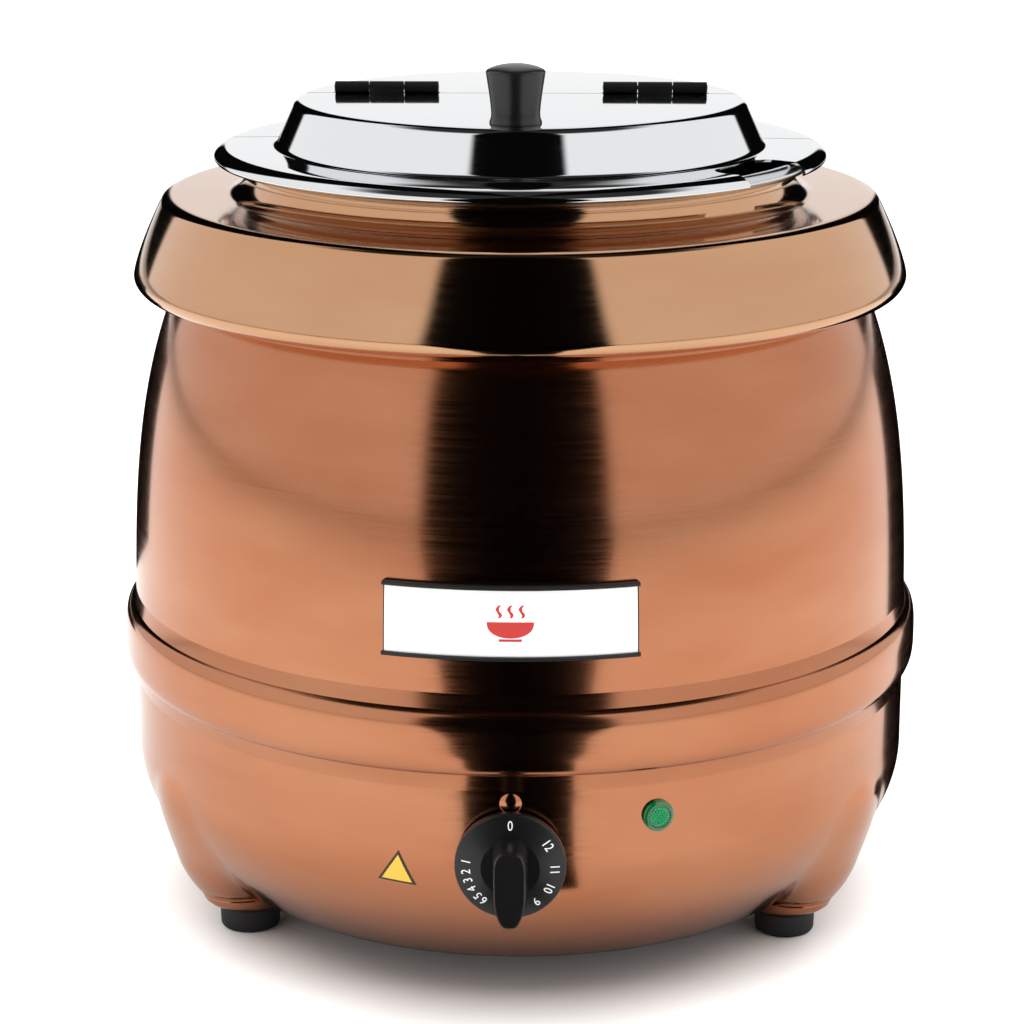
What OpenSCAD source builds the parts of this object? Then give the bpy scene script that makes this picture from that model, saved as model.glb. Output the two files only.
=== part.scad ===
// Countertop soup kettle: a barrel-shaped heated body with a lift-out pot and a split, hinged lid.
// Millimetres, +Z up, origin on the table at the body's axis, front towards -Y.
// Azimuths are counted from the front (-Y) towards +X.

/* [Body shell] */
// Diameter of the body at its widest, under the bead
body_d = 336.7; // [320:0.1:420]
// Height at which the body wall goes into the collar
wall_top_z = 262; // [216:1:330]
// How late the wall curves in towards the collar
wall_power = 4.56; // [2.5:0.01:6]
// Height at which the wall starts to curve in
wall_curve_z = 40.2; // [30:0.1:60]
// How far the body's lower edge stands in from its widest
bottom_inset = 32.35; // [24:0.05:42]
// Height of the body's lower edge
bottom_z = 16.6; // [14:0.1:24]
// Height at which the lower bowl meets the upright wall
bowl_top_z = 76; // [60:1:90]
// Slope of the bowl at the lower edge, in degrees
bowl_edge_angle = 39.5; // [30:0.5:60]
// How far the bowl follows that slope
bowl_edge_reach = 46; // [20:1:50]
// How far the bowl follows the upright wall
bowl_wall_reach = 10; // [5:1:20]
// Thickness of the body and collar sheet
sheet_t = 1; // [0.8:0.1:1.5]

/* [Bead] */
// Height of the middle of the raised bead
bead_z = 120.7; // [110:0.1:140]
// Height of the bead
bead_h = 26.5; // [16:0.5:32]
// How far the bead stands proud of the wall
bead_proud = 4.6; // [2:0.1:7]

/* [Collar] */
// Diameter of the collar at its widest
collar_d = 328; // [310:1:360]
// How far the collar stands out past the wall that goes into it
collar_overhang = 14; // [11:0.5:18]
// Gap between the height where the wall goes in and the collar's lip
lip_lift = 8; // [5:0.5:12]
// Height of the collar's side, from its lip to its shoulder
collar_h = 39.4; // [32:0.2:48]
// How far the collar's shoulder stands in from its widest
shoulder_inset = 17.5; // [15:0.5:20]
// Rise of the collar's top from the shoulder to the neck
top_rise = 1.8; // [0.5:0.1:3]
// Height of the neck above the inner end of the collar's top
neck_h = 9.3; // [7:0.1:14]
// Radius of the cove between the collar's top and the neck
cove_r = 4.2; // [2:0.1:6]

/* [Pot and well] */
// Outside diameter of the pot's wall
pot_d = 220; // [180:1:224]
// Sheet thickness of the pot and the well
pot_t = 0.8; // [0.6:0.1:1.2]
// Radius of the pot's lower corner
pot_corner_r = 14; // [8:1:24]
// Radius of the roll round the pot's rim
rim_roll_r = 3.1; // [2.4:0.1:4]
// Width of the flat flange between the pot's wall and the roll
rim_flat_w = 7.9; // [6:0.1:12]
// Radial gap between the pot and the well
well_gap = 4.1; // [3:0.1:8]
// Depth of water under the pot
water_h = 19.2; // [12:0.2:30]
// Height of the space under the well, for the heater
heater_space = 27.2; // [26:0.2:40]

/* [Lid] */
// How far the lid's brim stands out past the pot's rim
brim_overhang = 5; // [4.5:0.1:8]
// Width of the flat of the brim
brim_flat_w = 14; // [8:0.5:18]
// Fall of the brim from its flat to the roll round its edge
brim_fall = 0.9; // [0.4:0.1:2]
// Radius of the roll round the brim's edge
brim_roll_r = 2.3; // [1.8:0.1:3]
// Height of the raised middle of the lid
dome_h = 19; // [12:0.5:30]
// How far the foot of the lid's raised middle stands in from the pot's wall
dome_foot_inset = 7; // [5:0.5:20]
// How far the top of the raised middle stands in from its foot
dome_taper = 8.7; // [6:0.1:16]
// Sheet thickness of the lid
lid_t = 1; // [0.8:0.1:1.2]
// How far behind the middle the lid is split
split_y = 12; // [0:1:30]
// Gap between the two halves of the lid
split_gap = 0.8; // [0.6:0.1:1.5]
// Azimuth of the ladle notch
notch_azimuth = 55; // [30:1:70]
// Width of the ladle notch
notch_w = 42; // [24:1:50]
// Depth of the ladle notch from the brim's edge
notch_depth = 22; // [16:0.5:24]
// Radius of the notch's inner corners
notch_corner_r = 8; // [3:0.5:10]

/* [Lid hinges and knob] */
// How far the middle of each hinge stands in from the edge of the lid's raised top
hinge_inset = 37.3; // [32:0.1:52]
// Length of each hinge
hinge_w = 44.4; // [30:0.2:50]
// Outside radius of the hinge knuckles
knuckle_r = 2.4; // [2:0.1:3.5]
// Radius of the hinge pin
pin_r = 1; // [0.8:0.1:1.4]
// Running clearance between the pin and the knuckles
pin_clearance = 0.05; // [0.02:0.01:0.1]
// Depth of each hinge leaf under the lid
leaf_l = 15; // [10:1:20]
// Thickness of the hinge leaves
leaf_t = 0.8; // [0.6:0.1:1.2]
// How far the knob stands in from the edge of the lid's raised top
knob_inset = 14.3; // [13:0.1:34]
// Diameter of the knob's top
knob_d = 23.7; // [18:0.1:30]
// Diameter of the knob's waist
knob_waist_d = 19.4; // [14:0.1:26]
// Height of the knob
knob_h = 23.5; // [16:0.5:30]

/* [Dial and thermostat] */
// Height of the dial's axis
dial_z = 72; // [66:0.5:80]
// Diameter of the dial's skirt
dial_d = 43.6; // [36:0.2:52]
// How far the dial's grip stands out from the wall
dial_reach = 21.65; // [18:0.05:26]
// Thickness of the dial's skirt at its rim
skirt_t = 3.6; // [2:0.1:5]
// Gap between the wall and the dial
dial_gap = 1.6; // [1.2:0.1:3]
// Width of the dial's grip
grip_w = 19; // [12:0.5:22]
// How far the grip reaches above the dial's axis, so that it leaves the upper number free
grip_top = 12.5; // [8:0.5:16]
// Radius of the thermostat's shaft
shaft_r = 3; // [2.5:0.1:4]
// Running clearance of the shaft in its bush
shaft_clearance = 0.05; // [0.02:0.01:0.1]
// Width of the thermostat's case
thermostat_w = 38; // [30:1:44]
// Height of the thermostat's case
thermostat_h = 30; // [24:1:36]
// Depth of the thermostat's case
thermostat_l = 30; // [24:1:36]

/* [Lamp, mark and label] */
// Azimuth of the pilot lamp
lamp_azimuth = 20; // [16:0.5:30]
// Height of the pilot lamp
lamp_z = 88; // [80:0.5:98]
// Diameter of the pilot lamp's lens
lamp_d = 12.7; // [10:0.1:16]
// Azimuth of the blank triangular mark
mark_azimuth = -15.4; // [-30:0.1:-12]
// Height of the mark's lower edge
mark_z = 60; // [56:0.5:80]
// Width of the mark
mark_w = 16; // [10:0.5:20]
// How far the mark is turned from upright, in degrees
mark_tilt = 4.5; // [-8:0.5:8]
// Height of the label holder's lower edge
label_z = 155; // [140:1:200]
// Height of the label holder
label_h = 29.3; // [20:0.1:40]
// Half of the angle that the label holder spans
label_half_angle = 17; // [10:0.5:24]
// Visible height of each of the holder's rails
rail_h = 1.6; // [1.2:0.1:3]
// Thickness of the label card
card_t = 0.8; // [0.5:0.1:1.2]
// Gap round the card in its rails
card_gap = 0.3; // [0.3:0.05:0.5]

/* [Feet] */
// How far the feet's middles stand in from the body's lower edge
foot_inset = 3.1; // [1:0.1:10]
// Diameter of each rubber foot
foot_d = 25.8; // [20:0.2:30]
// Height of each rubber foot
foot_h = 10; // [8:0.5:12]
// Outward lean of the wall's bulge over each foot, in degrees
bulge_lean = 20; // [16:0.5:24]

/* [Cord gland] */
// Height of the cord gland
gland_z = 88; // [84:1:98]
// Radius of the cord that the gland takes
cord_r = 3.5; // [3:0.1:5]
// Clearance round the cord
cord_clearance = 0.1; // [0.05:0.05:0.3]
// How far the gland stands out from the wall
gland_reach = 21.65; // [16:0.05:30]

/* [Hidden] */
$fn = 96;
eps = 0.01;

body_r = body_d / 2;
bottom_r = body_r - bottom_inset;
collar_r = collar_d / 2;
wall_top_r = collar_r - collar_overhang;
shoulder_r = collar_r - shoulder_inset;
flange_w = 12;
base_t = 1.2;

// Heights of the collar and of everything that stands on it
lip_z = wall_top_z + lip_lift;
shoulder_z = lip_z + collar_h;
neck_foot_z = shoulder_z + top_rise;
neck_top_z = neck_foot_z + neck_h;
well_rim_top_z = neck_top_z + pot_t;
rim_top_z = well_rim_top_z + 2 * rim_roll_r;

// The well hangs in the neck, and the pot hangs in the well
pot_r = pot_d / 2;
well_in_r = pot_r + well_gap;
well_r = well_in_r + pot_t;
fit_gap = 0.1;
neck_r = well_r + fit_gap + sheet_t;
base_top_z = bottom_z + sheet_t + base_t;
well_bottom_z = base_top_z + heater_space;
pot_bottom_z = well_bottom_z + pot_t + water_h;
roll_r = pot_r + rim_flat_w + rim_roll_r;

// Top of the hidden part of the shell, under the collar
shell_top_z = shoulder_z - 6.4;
shell_top_r = wall_top_r - 6.5;
seat_in_r = shell_top_r - 9;

// Lid
lid_r = roll_r + rim_roll_r + brim_overhang;
lid_rest_gap = 0.3;
brim_under_z = rim_top_z + lid_rest_gap;
brim_z = brim_under_z + lid_t;
lid_top_z = brim_z + dome_h;
dome_foot_r = pot_r - dome_foot_inset;
dome_top_r = dome_foot_r - dome_taper;
hinge_x = dome_top_r - hinge_inset;
knob_y = dome_top_r - knob_inset;
brim_turn = [lid_r - brim_roll_r * (1 - cos(45)), brim_z - brim_fall];
brim_roll = brim_turn - brim_roll_r * [cos(45), sin(45)];
brim_flat = [dome_foot_r + brim_flat_w, brim_z];
hinge_gap = 0.2;
hinge_z = lid_top_z + hinge_gap + knuckle_r;
knuckle_w = hinge_w / 3;
knuckle_gap = 0.3;
notch_r = lid_r - notch_depth;
knob_r = knob_d / 2;
knob_screw_r = 2.4;

// Dial and thermostat, along the outward direction at the front
dial_back = body_r + dial_gap;
dial_front = body_r + dial_reach;
dial_r = dial_d / 2;
bush_r = 5;
bush_front = body_r + 4;
case_front = body_r - 9;
shaft_back = case_front - 12;
nut_af = 13;

// Label
holder_gap = 0.2;
holder_t = 1;
card_out = holder_gap + holder_t + card_gap;
hook_out = card_out + card_t + card_gap;

// Feet
foot_r = foot_d / 2;
foot_circle_r = bottom_r - foot_inset;
foot_azimuths = [-60, 60, 180];
foot_screw_r = 2.45;
bulge_floor_t = 1;

wiring_r = 1.1;

// ---------- Helpers ----------

function unit(v) = v / norm(v);
function left_of(d) = [d[1], -d[0]];

// Direction in which point i of a path moves when the sheet is thickened
function miter(p, i) =
    let (
        before = unit(p[max(i, 1)] - p[max(i, 1) - 1]),
        after = unit(p[min(i, len(p) - 2) + 1] - p[min(i, len(p) - 2)]),
        a = left_of(before),
        b = left_of(after)
    )
    (a + b) / (1 + a * b);

// Closed outline of a sheet of thickness t, whose outer face follows the path
function sheet(p, t) = concat(p, [for (i = [len(p) - 1 : -1 : 0]) p[i] - t * miter(p, i)]);

function bezier(a, b, c, d, n) = [
    for (i = [0 : n])
        let (t = i / n, s = 1 - t)
            s * s * s * a + 3 * s * s * t * b + 3 * s * t * t * c + t * t * t * d
];

function arc(c, r, from, to, n) = [
    for (i = [0 : n])
        let (a = from + (to - from) * i / n)
            c + r * [cos(a), sin(a)]
];

module turned(outline) {
    rotate_extrude()
        polygon(outline);
}

module at_azimuth(a) {
    rotate([0, 0, a])
        children();
}

// Cylinder that points out of the front, from y = -from to y = -to
module out_front(from, to, r, z = 0, x = 0) {
    translate([x, -from, z])
        rotate([90, 0, 0])
            cylinder(h = to - from, r = r);
}

module hex_out_front(from, to, across_flats, z) {
    translate([0, -from, z])
        rotate([90, 0, 0])
            cylinder(h = to - from, r = across_flats / 2 / cos(30), $fn = 6);
}

// Round rod between two points
module rod(a, b, r) {
    d = b - a;
    l = norm(d);
    translate(a)
        rotate([0, acos(d[2] / l), atan2(d[1], d[0])])
            cylinder(h = l, r = r, $fn = 24);
}

// Wire through a list of points, with a slightly fatter ball at each bend
module wire(points, r) {
    for (i = [0 : len(points) - 2])
        rod(points[i], points[i + 1], r);
    for (i = [1 : len(points) - 2])
        translate(points[i])
            sphere(r = 1.1 * r, $fn = 24);
}

// Position at an azimuth, a radius and a height
function polar(a, r, z) = [r * sin(a), -r * cos(a), z];

// ---------- Body shell ----------

function wall_r(z) =
    z >= bowl_top_z
    ? body_r - (body_r - wall_top_r)
        * pow((z - wall_curve_z) / (wall_top_z - wall_curve_z), wall_power)
    : lookup(z, [for (p = bowl_path()) [p[1], p[0]]]);

function bowl_path() =
    let (top = [body_r - (body_r - wall_top_r)
        * pow((bowl_top_z - wall_curve_z) / (wall_top_z - wall_curve_z), wall_power), bowl_top_z])
    bezier(
        [bottom_r, bottom_z],
        [bottom_r, bottom_z] + bowl_edge_reach * [cos(bowl_edge_angle), sin(bowl_edge_angle)],
        top - [0, bowl_wall_reach],
        top,
        14
    );

// How far the bead stands out at a height
function bead_out(z) =
    let (u = abs(z - bead_z) / (bead_h / 2))
    u >= 1 ? 0 : bead_proud * sqrt(1 - pow(u, 4));

bead_steps = 12;
wall_steps = 10;
bead_top_z = bead_z + bead_h / 2;
bead_bottom_z = bead_z - bead_h / 2;
seam_gap = 0.05;

function bead_path() = [
    for (i = [0 : bead_steps])
        let (z = bead_z - cos(180 * i / bead_steps) * bead_h / 2)
            [wall_r(z) + bead_out(z), z]
];

function upper_wall_path() = [
    for (i = [1 : wall_steps])
        let (z = bead_top_z + (wall_top_z - bead_top_z) * i / wall_steps)
            [wall_r(z), z]
];

// The wall inside the collar: it draws in and stands straight up to the seat
function hidden_wall_path() = concat(
    bezier(
        [wall_top_r, wall_top_z],
        [wall_top_r - 3.5, wall_top_z + 8],
        [shell_top_r, wall_top_z + 12],
        [shell_top_r, wall_top_z + 24],
        4
    ),
    [[shell_top_r, shell_top_z], [seat_in_r, shell_top_z]]
);

// The lower shell's wall ends inside the hollow of the upper shell's bead
lower_top_z = bead_z;

function lower_path() = concat(
    [[bottom_r - flange_w, bottom_z], [bottom_r - 0.4, bottom_z]],
    [for (i = [1 : len(bowl_path()) - 1]) bowl_path()[i]],
    [for (z = [bead_bottom_z, lower_top_z]) [wall_r(z), z]]
);

function upper_path() = concat(
    bead_path(),
    upper_wall_path(),
    [for (i = [1 : len(hidden_wall_path()) - 1]) hidden_wall_path()[i]]
);

// Everything inside the lower shell above its flange
module lower_inside() {
    path = lower_path();
    inner = [
        for (i = [1 : len(path) - 1])
            path[i] - sheet_t * miter(path, i)
    ];
    turned(concat([[0, bottom_z + sheet_t]], inner, [[0, lower_top_z]]));
}

// Bulge of the wall over one foot: turned about an axis that leans out, and cut flat over the foot
module bulge(t) {
    waist = foot_r / 12.9;
    outline = [
        [0, -12], [8, -12], [10.6, -6], [12.6, 0], [14.6, 4], [18, 12], [20.3, 22],
        [20, 32], [17, 42], [11, 50], [0, 54]
    ];
    intersection() {
        translate([0, -foot_circle_r, foot_h])
            rotate([bulge_lean, 0, 0])
                turned([for (p = outline) [max(0, waist * p[0] - t), p[1]]]);
        translate([-60, -foot_circle_r - 60, foot_h + (t > 0 ? bulge_floor_t : 0)])
            cube([120, 120, 90]);
    }
}

module bulges(t) {
    for (a = foot_azimuths)
        at_azimuth(a)
            bulge(t);
}

module pointer_pip() {
    pip_r = 8;
    difference() {
        translate([0, pip_r - 1.35 - body_r, dial_z + 24])
            sphere(r = pip_r);
        cylinder(h = 200, r = body_r - sheet_t / 2);
    }
}

// The bead's lower edge stands just clear of the lower shell's wall
module upper_shell() {
    path = upper_path();
    inner = [
        for (i = [len(path) - 1 : -1 : 0])
            let (q = path[i] - sheet_t * miter(path, i))
                [q[1] < lower_top_z ? max(q[0], wall_r(q[1]) + seam_gap) : q[0], q[1]]
    ];
    color("#b9754c")
        turned(concat([path[0] + [seam_gap, 0]], [for (i = [1 : len(path) - 1]) path[i]], inner));
}

module lower_shell() {
    color("#b9754c")
    difference() {
        union() {
            turned(sheet(lower_path(), sheet_t));
            difference() {
                bulges(0);
                lower_inside();
            }
            pointer_pip();
        }
        bulges(sheet_t);
        out_front(body_r - 12, body_r + 8, bush_r + 0.2, dial_z);
        at_azimuth(lamp_azimuth)
            out_front(body_r - 12, body_r + 8, lamp_body_r + 0.2, lamp_z);
        at_azimuth(180)
            out_front(body_r - 12, body_r + 8, gland_thread_r + 0.2, gland_z);
        foot_bores(foot_screw_r + 0.15);
        base_bores();
    }
}

// ---------- Collar, well, insulation ----------

side_end = [collar_r, lip_z + 6];
shoulder_round = [shoulder_r + 5, shoulder_z - 1.6];

function collar_path() = concat(
    [[wall_top_r + 1.5, lip_z], [collar_r - 7, lip_z]],
    [for (i = [1 : 6]) [collar_r - 7 + 7 * sin(15 * i), lip_z + 6 - 6 * cos(15 * i)]],
    [for (i = [1 : 8])
        bezier(side_end, side_end + [-1.2, 8], shoulder_round + [3.4, -6.4], shoulder_round, 8)[i]],
    [shoulder_round + [-2.2, 1.25], [shoulder_r, shoulder_z]],
    arc([neck_r + cove_r, neck_foot_z + cove_r], cove_r, 270, 180, 6),
    [[neck_r, neck_top_z]]
);

module top_collar() {
    color("#c89468")
        turned(sheet(collar_path(), sheet_t));
}

gasket_gap = 0.05;

// Height of the gasket's top, just under the collar
function under_top_z(r) =
    shoulder_z - sheet_t - gasket_gap
    + top_rise * (shoulder_r - r) / (shoulder_r - neck_r - cove_r);

module collar_gasket() {
    color("#3a3a3a")
        turned([
            [seat_in_r + 1, shell_top_z],
            [shell_top_r - 1, shell_top_z],
            [shell_top_r - 1, under_top_z(shell_top_r - 1)],
            [seat_in_r + 1, under_top_z(seat_in_r + 1)]
        ]);
}

function cup_path(r, bottom, top, corner) = concat(
    [[0, bottom]],
    arc([r - corner, bottom + corner], corner, -90, 0, 8),
    [[r, top]]
);

module water_well() {
    rim_r = neck_r + 1.6;
    color("#c9cbcc")
    union() {
        turned(sheet(cup_path(well_r, well_bottom_z, neck_top_z + pot_t, pot_corner_r), pot_t));
        turned([
            [well_in_r, neck_top_z],
            [rim_r, neck_top_z],
            [rim_r, well_rim_top_z],
            [well_in_r, well_rim_top_z]
        ]);
    }
}

module insulation_sleeve() {
    color("#d8d2bd")
        turned([
            [well_r + 0.4, 140],
            [well_r + 9, 140],
            [well_r + 9, shell_top_z - 16],
            [well_r + 0.4, shell_top_z - 16]
        ]);
}

// ---------- Heater ----------

element_r = 4;
element_ring_r = 75;
spreader_t = 4;
clamp_t = 2;
element_z = well_bottom_z - spreader_t - element_r;
clamp_top_z = element_z - element_r;
stud_r = 4;

module heat_spreader() {
    color("#b5b8ba")
    difference() {
        translate([0, 0, well_bottom_z - spreader_t])
            cylinder(h = spreader_t, r = element_ring_r + 20);
        translate([0, 0, well_bottom_z - spreader_t - 1])
            cylinder(h = spreader_t + 2, r = stud_r + 0.5);
    }
}

module heating_element() {
    gap_angle = 24;
    color("#5e6063")
    union() {
        rotate([0, 0, -90 + gap_angle / 2])
            translate([0, 0, element_z])
                rotate_extrude(angle = 360 - gap_angle)
                    translate([element_ring_r, 0])
                        circle(r = element_r);
        for (side = [-1, 1]) {
            start = polar(side * gap_angle / 2, element_ring_r, element_z);
            end = start + [side * 5, -26, 0];
            rod(start, end, element_r - 0.8);
            rod(end, end + [0, -10, 0], 1.5);
        }
    }
}

module element_clamp() {
    color("#8f9295")
    difference() {
        translate([0, 0, clamp_top_z - clamp_t])
            cylinder(h = clamp_t, r = element_ring_r + 10);
        translate([0, 0, clamp_top_z - clamp_t - 1])
            cylinder(h = clamp_t + 2, r = stud_r + 0.3);
    }
}

module thermal_cutout() {
    color("#2c2c2e")
    translate([34, 26, clamp_top_z - clamp_t - 6])
        union() {
            cylinder(h = 6, r = 9);
            for (x = [-5, 5])
                translate([x - 0.4, -16, 1])
                    cube([0.8, 12, 4]);
        }
}

module tie_stud() {
    color("#9a9c9e")
        translate([0, 0, bottom_z - 7])
            cylinder(h = well_bottom_z - bottom_z + 7, r = stud_r);
}

module tie_nut(z) {
    translate([0, 0, z])
        difference() {
            cylinder(h = 6, r = 13 / 2 / cos(30), $fn = 6);
            translate([0, 0, -1])
                cylinder(h = 8, r = stud_r + 0.05);
        }
}

module tie_nuts() {
    color("#a7a9ab") {
        tie_nut(clamp_top_z - clamp_t - 6);
        tie_nut(bottom_z + sheet_t - 6);
    }
}

// ---------- Base and feet ----------

base_screw_r = 1.9;
base_screw_ring_r = bottom_r - 6.5;
base_screw_azimuths = [0, 120, 240];

module base_bores() {
    for (a = base_screw_azimuths)
        translate(polar(a, base_screw_ring_r, bottom_z - 1))
            cylinder(h = 8, r = base_screw_r + 0.15);
}

module foot_bores(r) {
    for (a = foot_azimuths)
        translate(polar(a, foot_circle_r, -1))
            cylinder(h = foot_h + 6, r = r);
}

module base_plate() {
    vent_ring_r = 100;
    color("#8d8f92")
    difference() {
        translate([0, 0, bottom_z + sheet_t])
            cylinder(h = base_t, r = bottom_r - 3);
        translate([0, 0, bottom_z])
            cylinder(h = 8, r = stud_r + 0.3);
        base_bores();
        for (i = [0 : 11])
            translate(polar(15 + 30 * i, vent_ring_r, bottom_z))
                cylinder(h = 8, r = 3);
    }
}

module base_screws() {
    head_h = 1.2;
    color("#9fa1a3")
    for (a = base_screw_azimuths)
        translate(polar(a, base_screw_ring_r, 0)) {
            translate([0, 0, bottom_z - head_h])
                cylinder(h = head_h, r = 3.6);
            translate([0, 0, bottom_z - eps])
                cylinder(h = 6, r = base_screw_r);
        }
}

module rubber_foot(a) {
    head_r = 5.2;
    color("#141414")
    translate(polar(a, foot_circle_r, 0))
        turned([
            [head_r, 0],
            [foot_r - 2, 0],
            [foot_r - 0.9, 0.5],
            [foot_r - 0.3, 1.6],
            [foot_r, 3.2],
            [foot_r, foot_h],
            [foot_screw_r + 0.1, foot_h],
            [foot_screw_r + 0.1, foot_h / 2],
            [head_r, foot_h / 2]
        ]);
}

module rubber_foot_left() { rubber_foot(foot_azimuths[0]); }
module rubber_foot_right() { rubber_foot(foot_azimuths[1]); }
module rubber_foot_rear() { rubber_foot(foot_azimuths[2]); }

module foot_screws() {
    color("#9fa1a3")
    for (a = foot_azimuths)
        translate(polar(a, foot_circle_r, foot_h / 2)) {
            translate([0, 0, -2.6])
                cylinder(h = 2.6, r = 4.7);
            translate([0, 0, -eps])
                cylinder(h = foot_h / 2 + 6.4, r = foot_screw_r);
        }
}

module foot_nuts() {
    color("#a7a9ab")
    for (a = foot_azimuths)
        translate(polar(a, foot_circle_r, foot_h + bulge_floor_t))
            difference() {
                cylinder(h = 4, r = 4.6, $fn = 6);
                translate([0, 0, -1])
                    cylinder(h = 6, r = foot_screw_r + 0.05);
            }
}

// ---------- Thermostat and dial ----------

module thermostat() {
    color("#d9d4c4")
    difference() {
        union() {
            translate([-thermostat_w / 2, -case_front, dial_z - thermostat_h / 2])
                cube([thermostat_w, thermostat_l, thermostat_h]);
            out_front(case_front - eps, bush_front, bush_r, dial_z);
            for (x = [-12, 0, 12])
                translate([x - 0.4, thermostat_l - case_front - eps, dial_z - 4])
                    cube([0.8, 8, 6.3]);
        }
        out_front(shaft_back - 0.5, bush_front + 1, shaft_r + shaft_clearance, dial_z);
    }
}

module thermostat_nut() {
    color("#b9bbbd")
    difference() {
        hex_out_front(body_r + 0.1, body_r + 2.7, nut_af, dial_z);
        out_front(body_r - 1, body_r + 4, bush_r + 0.05, dial_z);
    }
}

module sensing_bulb() {
    bulb_r = 3;
    foot = polar(17, well_r + bulb_r + 0.4, 96);
    start = [thermostat_w / 2 - 8, thermostat_l - case_front, dial_z + 10];
    color("#b56a3c")
    union() {
        translate(foot)
            cylinder(h = 38, r = bulb_r);
        wire([start, start + [0, 6, 0], foot + [0, -1, -10], foot + [0, 0, 1]], 0.9);
    }
}

module dial_shaft() {
    color("#c4b48a")
        out_front(shaft_back, dial_front - 6, shaft_r, dial_z);
}

// The dial: a skirt that carries the numbers and a tapered grip bar with a rounded nose
module dial_knob() {
    face_rise = 2.4;
    color("#101010")
    difference() {
        union() {
            translate([0, -dial_back, dial_z])
                rotate([90, 0, 0])
                    rotate_extrude()
                        polygon([
                            [0, 0],
                            [dial_r, 0],
                            [dial_r, skirt_t - 1],
                            [dial_r - 0.8, skirt_t],
                            [grip_w / 2 + 3, skirt_t + face_rise],
                            [0, skirt_t + face_rise]
                        ]);
            difference() {
                intersection() {
                    out_front(dial_back + 1, dial_front, dial_r - 0.8, dial_z);
                    translate([-grip_w / 2, -dial_front, dial_z - dial_r])
                        cube([grip_w, dial_reach, dial_r + grip_top]);
                }
                for (side = [-1, 1])
                    translate([side * (grip_w / 2 + 13), -dial_front - 1, dial_z])
                        rotate([-90, 0, 0])
                            cylinder(h = dial_front - dial_back - skirt_t, r = 17);
            }
        }
        out_front(dial_back - 1, dial_back + 5.4, 8.6, dial_z);
        out_front(dial_back, dial_front - 6 + eps, shaft_r + 0.02, dial_z);
    }
}

// ---------- Lamp, mark, plate, label ----------

lamp_body_r = 5;

module pilot_lamp_lens() {
    rise = 3.4;
    lens_r = lamp_d / 2;
    color("#0a7a3a")
    at_azimuth(lamp_azimuth)
        translate([0, -body_r - 0.15, lamp_z])
            rotate([90, 0, 0])
                rotate_extrude()
                    polygon([
                        [0, 0],
                        [lens_r, 0],
                        [lens_r, 1.1],
                        [lens_r - 0.7, 1.9],
                        [lens_r - 2.3, rise],
                        [0, rise]
                    ]);
}

module pilot_lamp_body() {
    color("#1d3b2b")
    at_azimuth(lamp_azimuth)
        union() {
            out_front(body_r - 22, body_r + 0.15, lamp_body_r, lamp_z);
            difference() {
                out_front(body_r - 4.6, body_r - 2, lamp_body_r + 2.4, lamp_z);
                out_front(body_r - 6, body_r, lamp_body_r - 0.5, lamp_z);
            }
        }
}

// Thin sheet that follows the wall, with its gap to the wall and its thickness
module wall_skin(gap, t, from_z, to_z) {
    steps = 4;
    heights = [for (i = [0 : steps]) from_z + (to_z - from_z) * i / steps];
    turned(concat(
        [for (z = heights) [wall_r(z) + gap + t, z]],
        [for (i = [steps : -1 : 0]) [wall_r(heights[i]) + gap, heights[i]]]
    ));
}

// Block that cuts a band of the wall down to an angle each side of the front
module sector(half_angle, from_z, to_z) {
    far = body_r + 30;
    translate([0, 0, from_z])
        linear_extrude(to_z - from_z)
            polygon([
                [0, 0],
                [-far * tan(half_angle), -far],
                [far * tan(half_angle), -far]
            ]);
}

module hot_surface_mark() {
    mark_h = mark_w * 0.87;
    color("#e3b52c")
    at_azimuth(mark_azimuth)
        intersection() {
            wall_skin(0.1, 0.3, mark_z - 2, mark_z + mark_h + 1);
            translate([0, 11 - body_r, mark_z + mark_h / 2])
                rotate([90, mark_tilt, 0])
                    linear_extrude(20)
                        polygon([[-mark_w / 2, -mark_h / 2], [mark_w / 2, -mark_h / 2], [0, mark_h / 2]]);
        }
}

plate_z = 78;
plate_h = 26;

module rating_plate() {
    color("#c3c5c6")
    at_azimuth(140)
        intersection() {
            wall_skin(0.3, 0.4, plate_z, plate_z + plate_h);
            sector(10, plate_z - 1, plate_z + plate_h + 1);
        }
}

module label_holder() {
    top = label_z + label_h;
    hook = 1;
    color("#111111")
    intersection() {
        union() {
            wall_skin(holder_gap, holder_t, label_z, top);
            for (z = [label_z, top - rail_h])
                wall_skin(hook_out, hook, z, z + rail_h);
            wall_skin(holder_gap, hook_out + hook - holder_gap, label_z, label_z + rail_h / 2);
            wall_skin(holder_gap, hook_out + hook - holder_gap, top - rail_h / 2, top);
        }
        sector(label_half_angle, label_z - 1, top + 1);
    }
}

module label_card() {
    inset = rail_h / 2 + card_gap;
    color("#f4f4f2")
    intersection() {
        wall_skin(card_out, card_t, label_z + inset, label_z + label_h - inset);
        sector(label_half_angle - 0.3, label_z, label_z + label_h);
    }
}

// ---------- Mains inlet ----------

gland_thread_r = 8;
gland_end_r = body_r - 14;
gland_wire_x = 6;

module cord_gland() {
    color("#161616")
    at_azimuth(180)
        difference() {
            union() {
                out_front(gland_end_r, body_r + 2, gland_thread_r, gland_z);
                hex_out_front(body_r + 0.4, body_r + 6, 21, gland_z);
                translate([0, -body_r - 6 + eps, gland_z])
                    rotate([90, 0, 0])
                        cylinder(h = gland_reach - 6, r1 = 10, r2 = 6.5);
            }
            out_front(gland_end_r - 1, body_r + gland_reach + 1, cord_r + cord_clearance, gland_z);
        }
}

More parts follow.
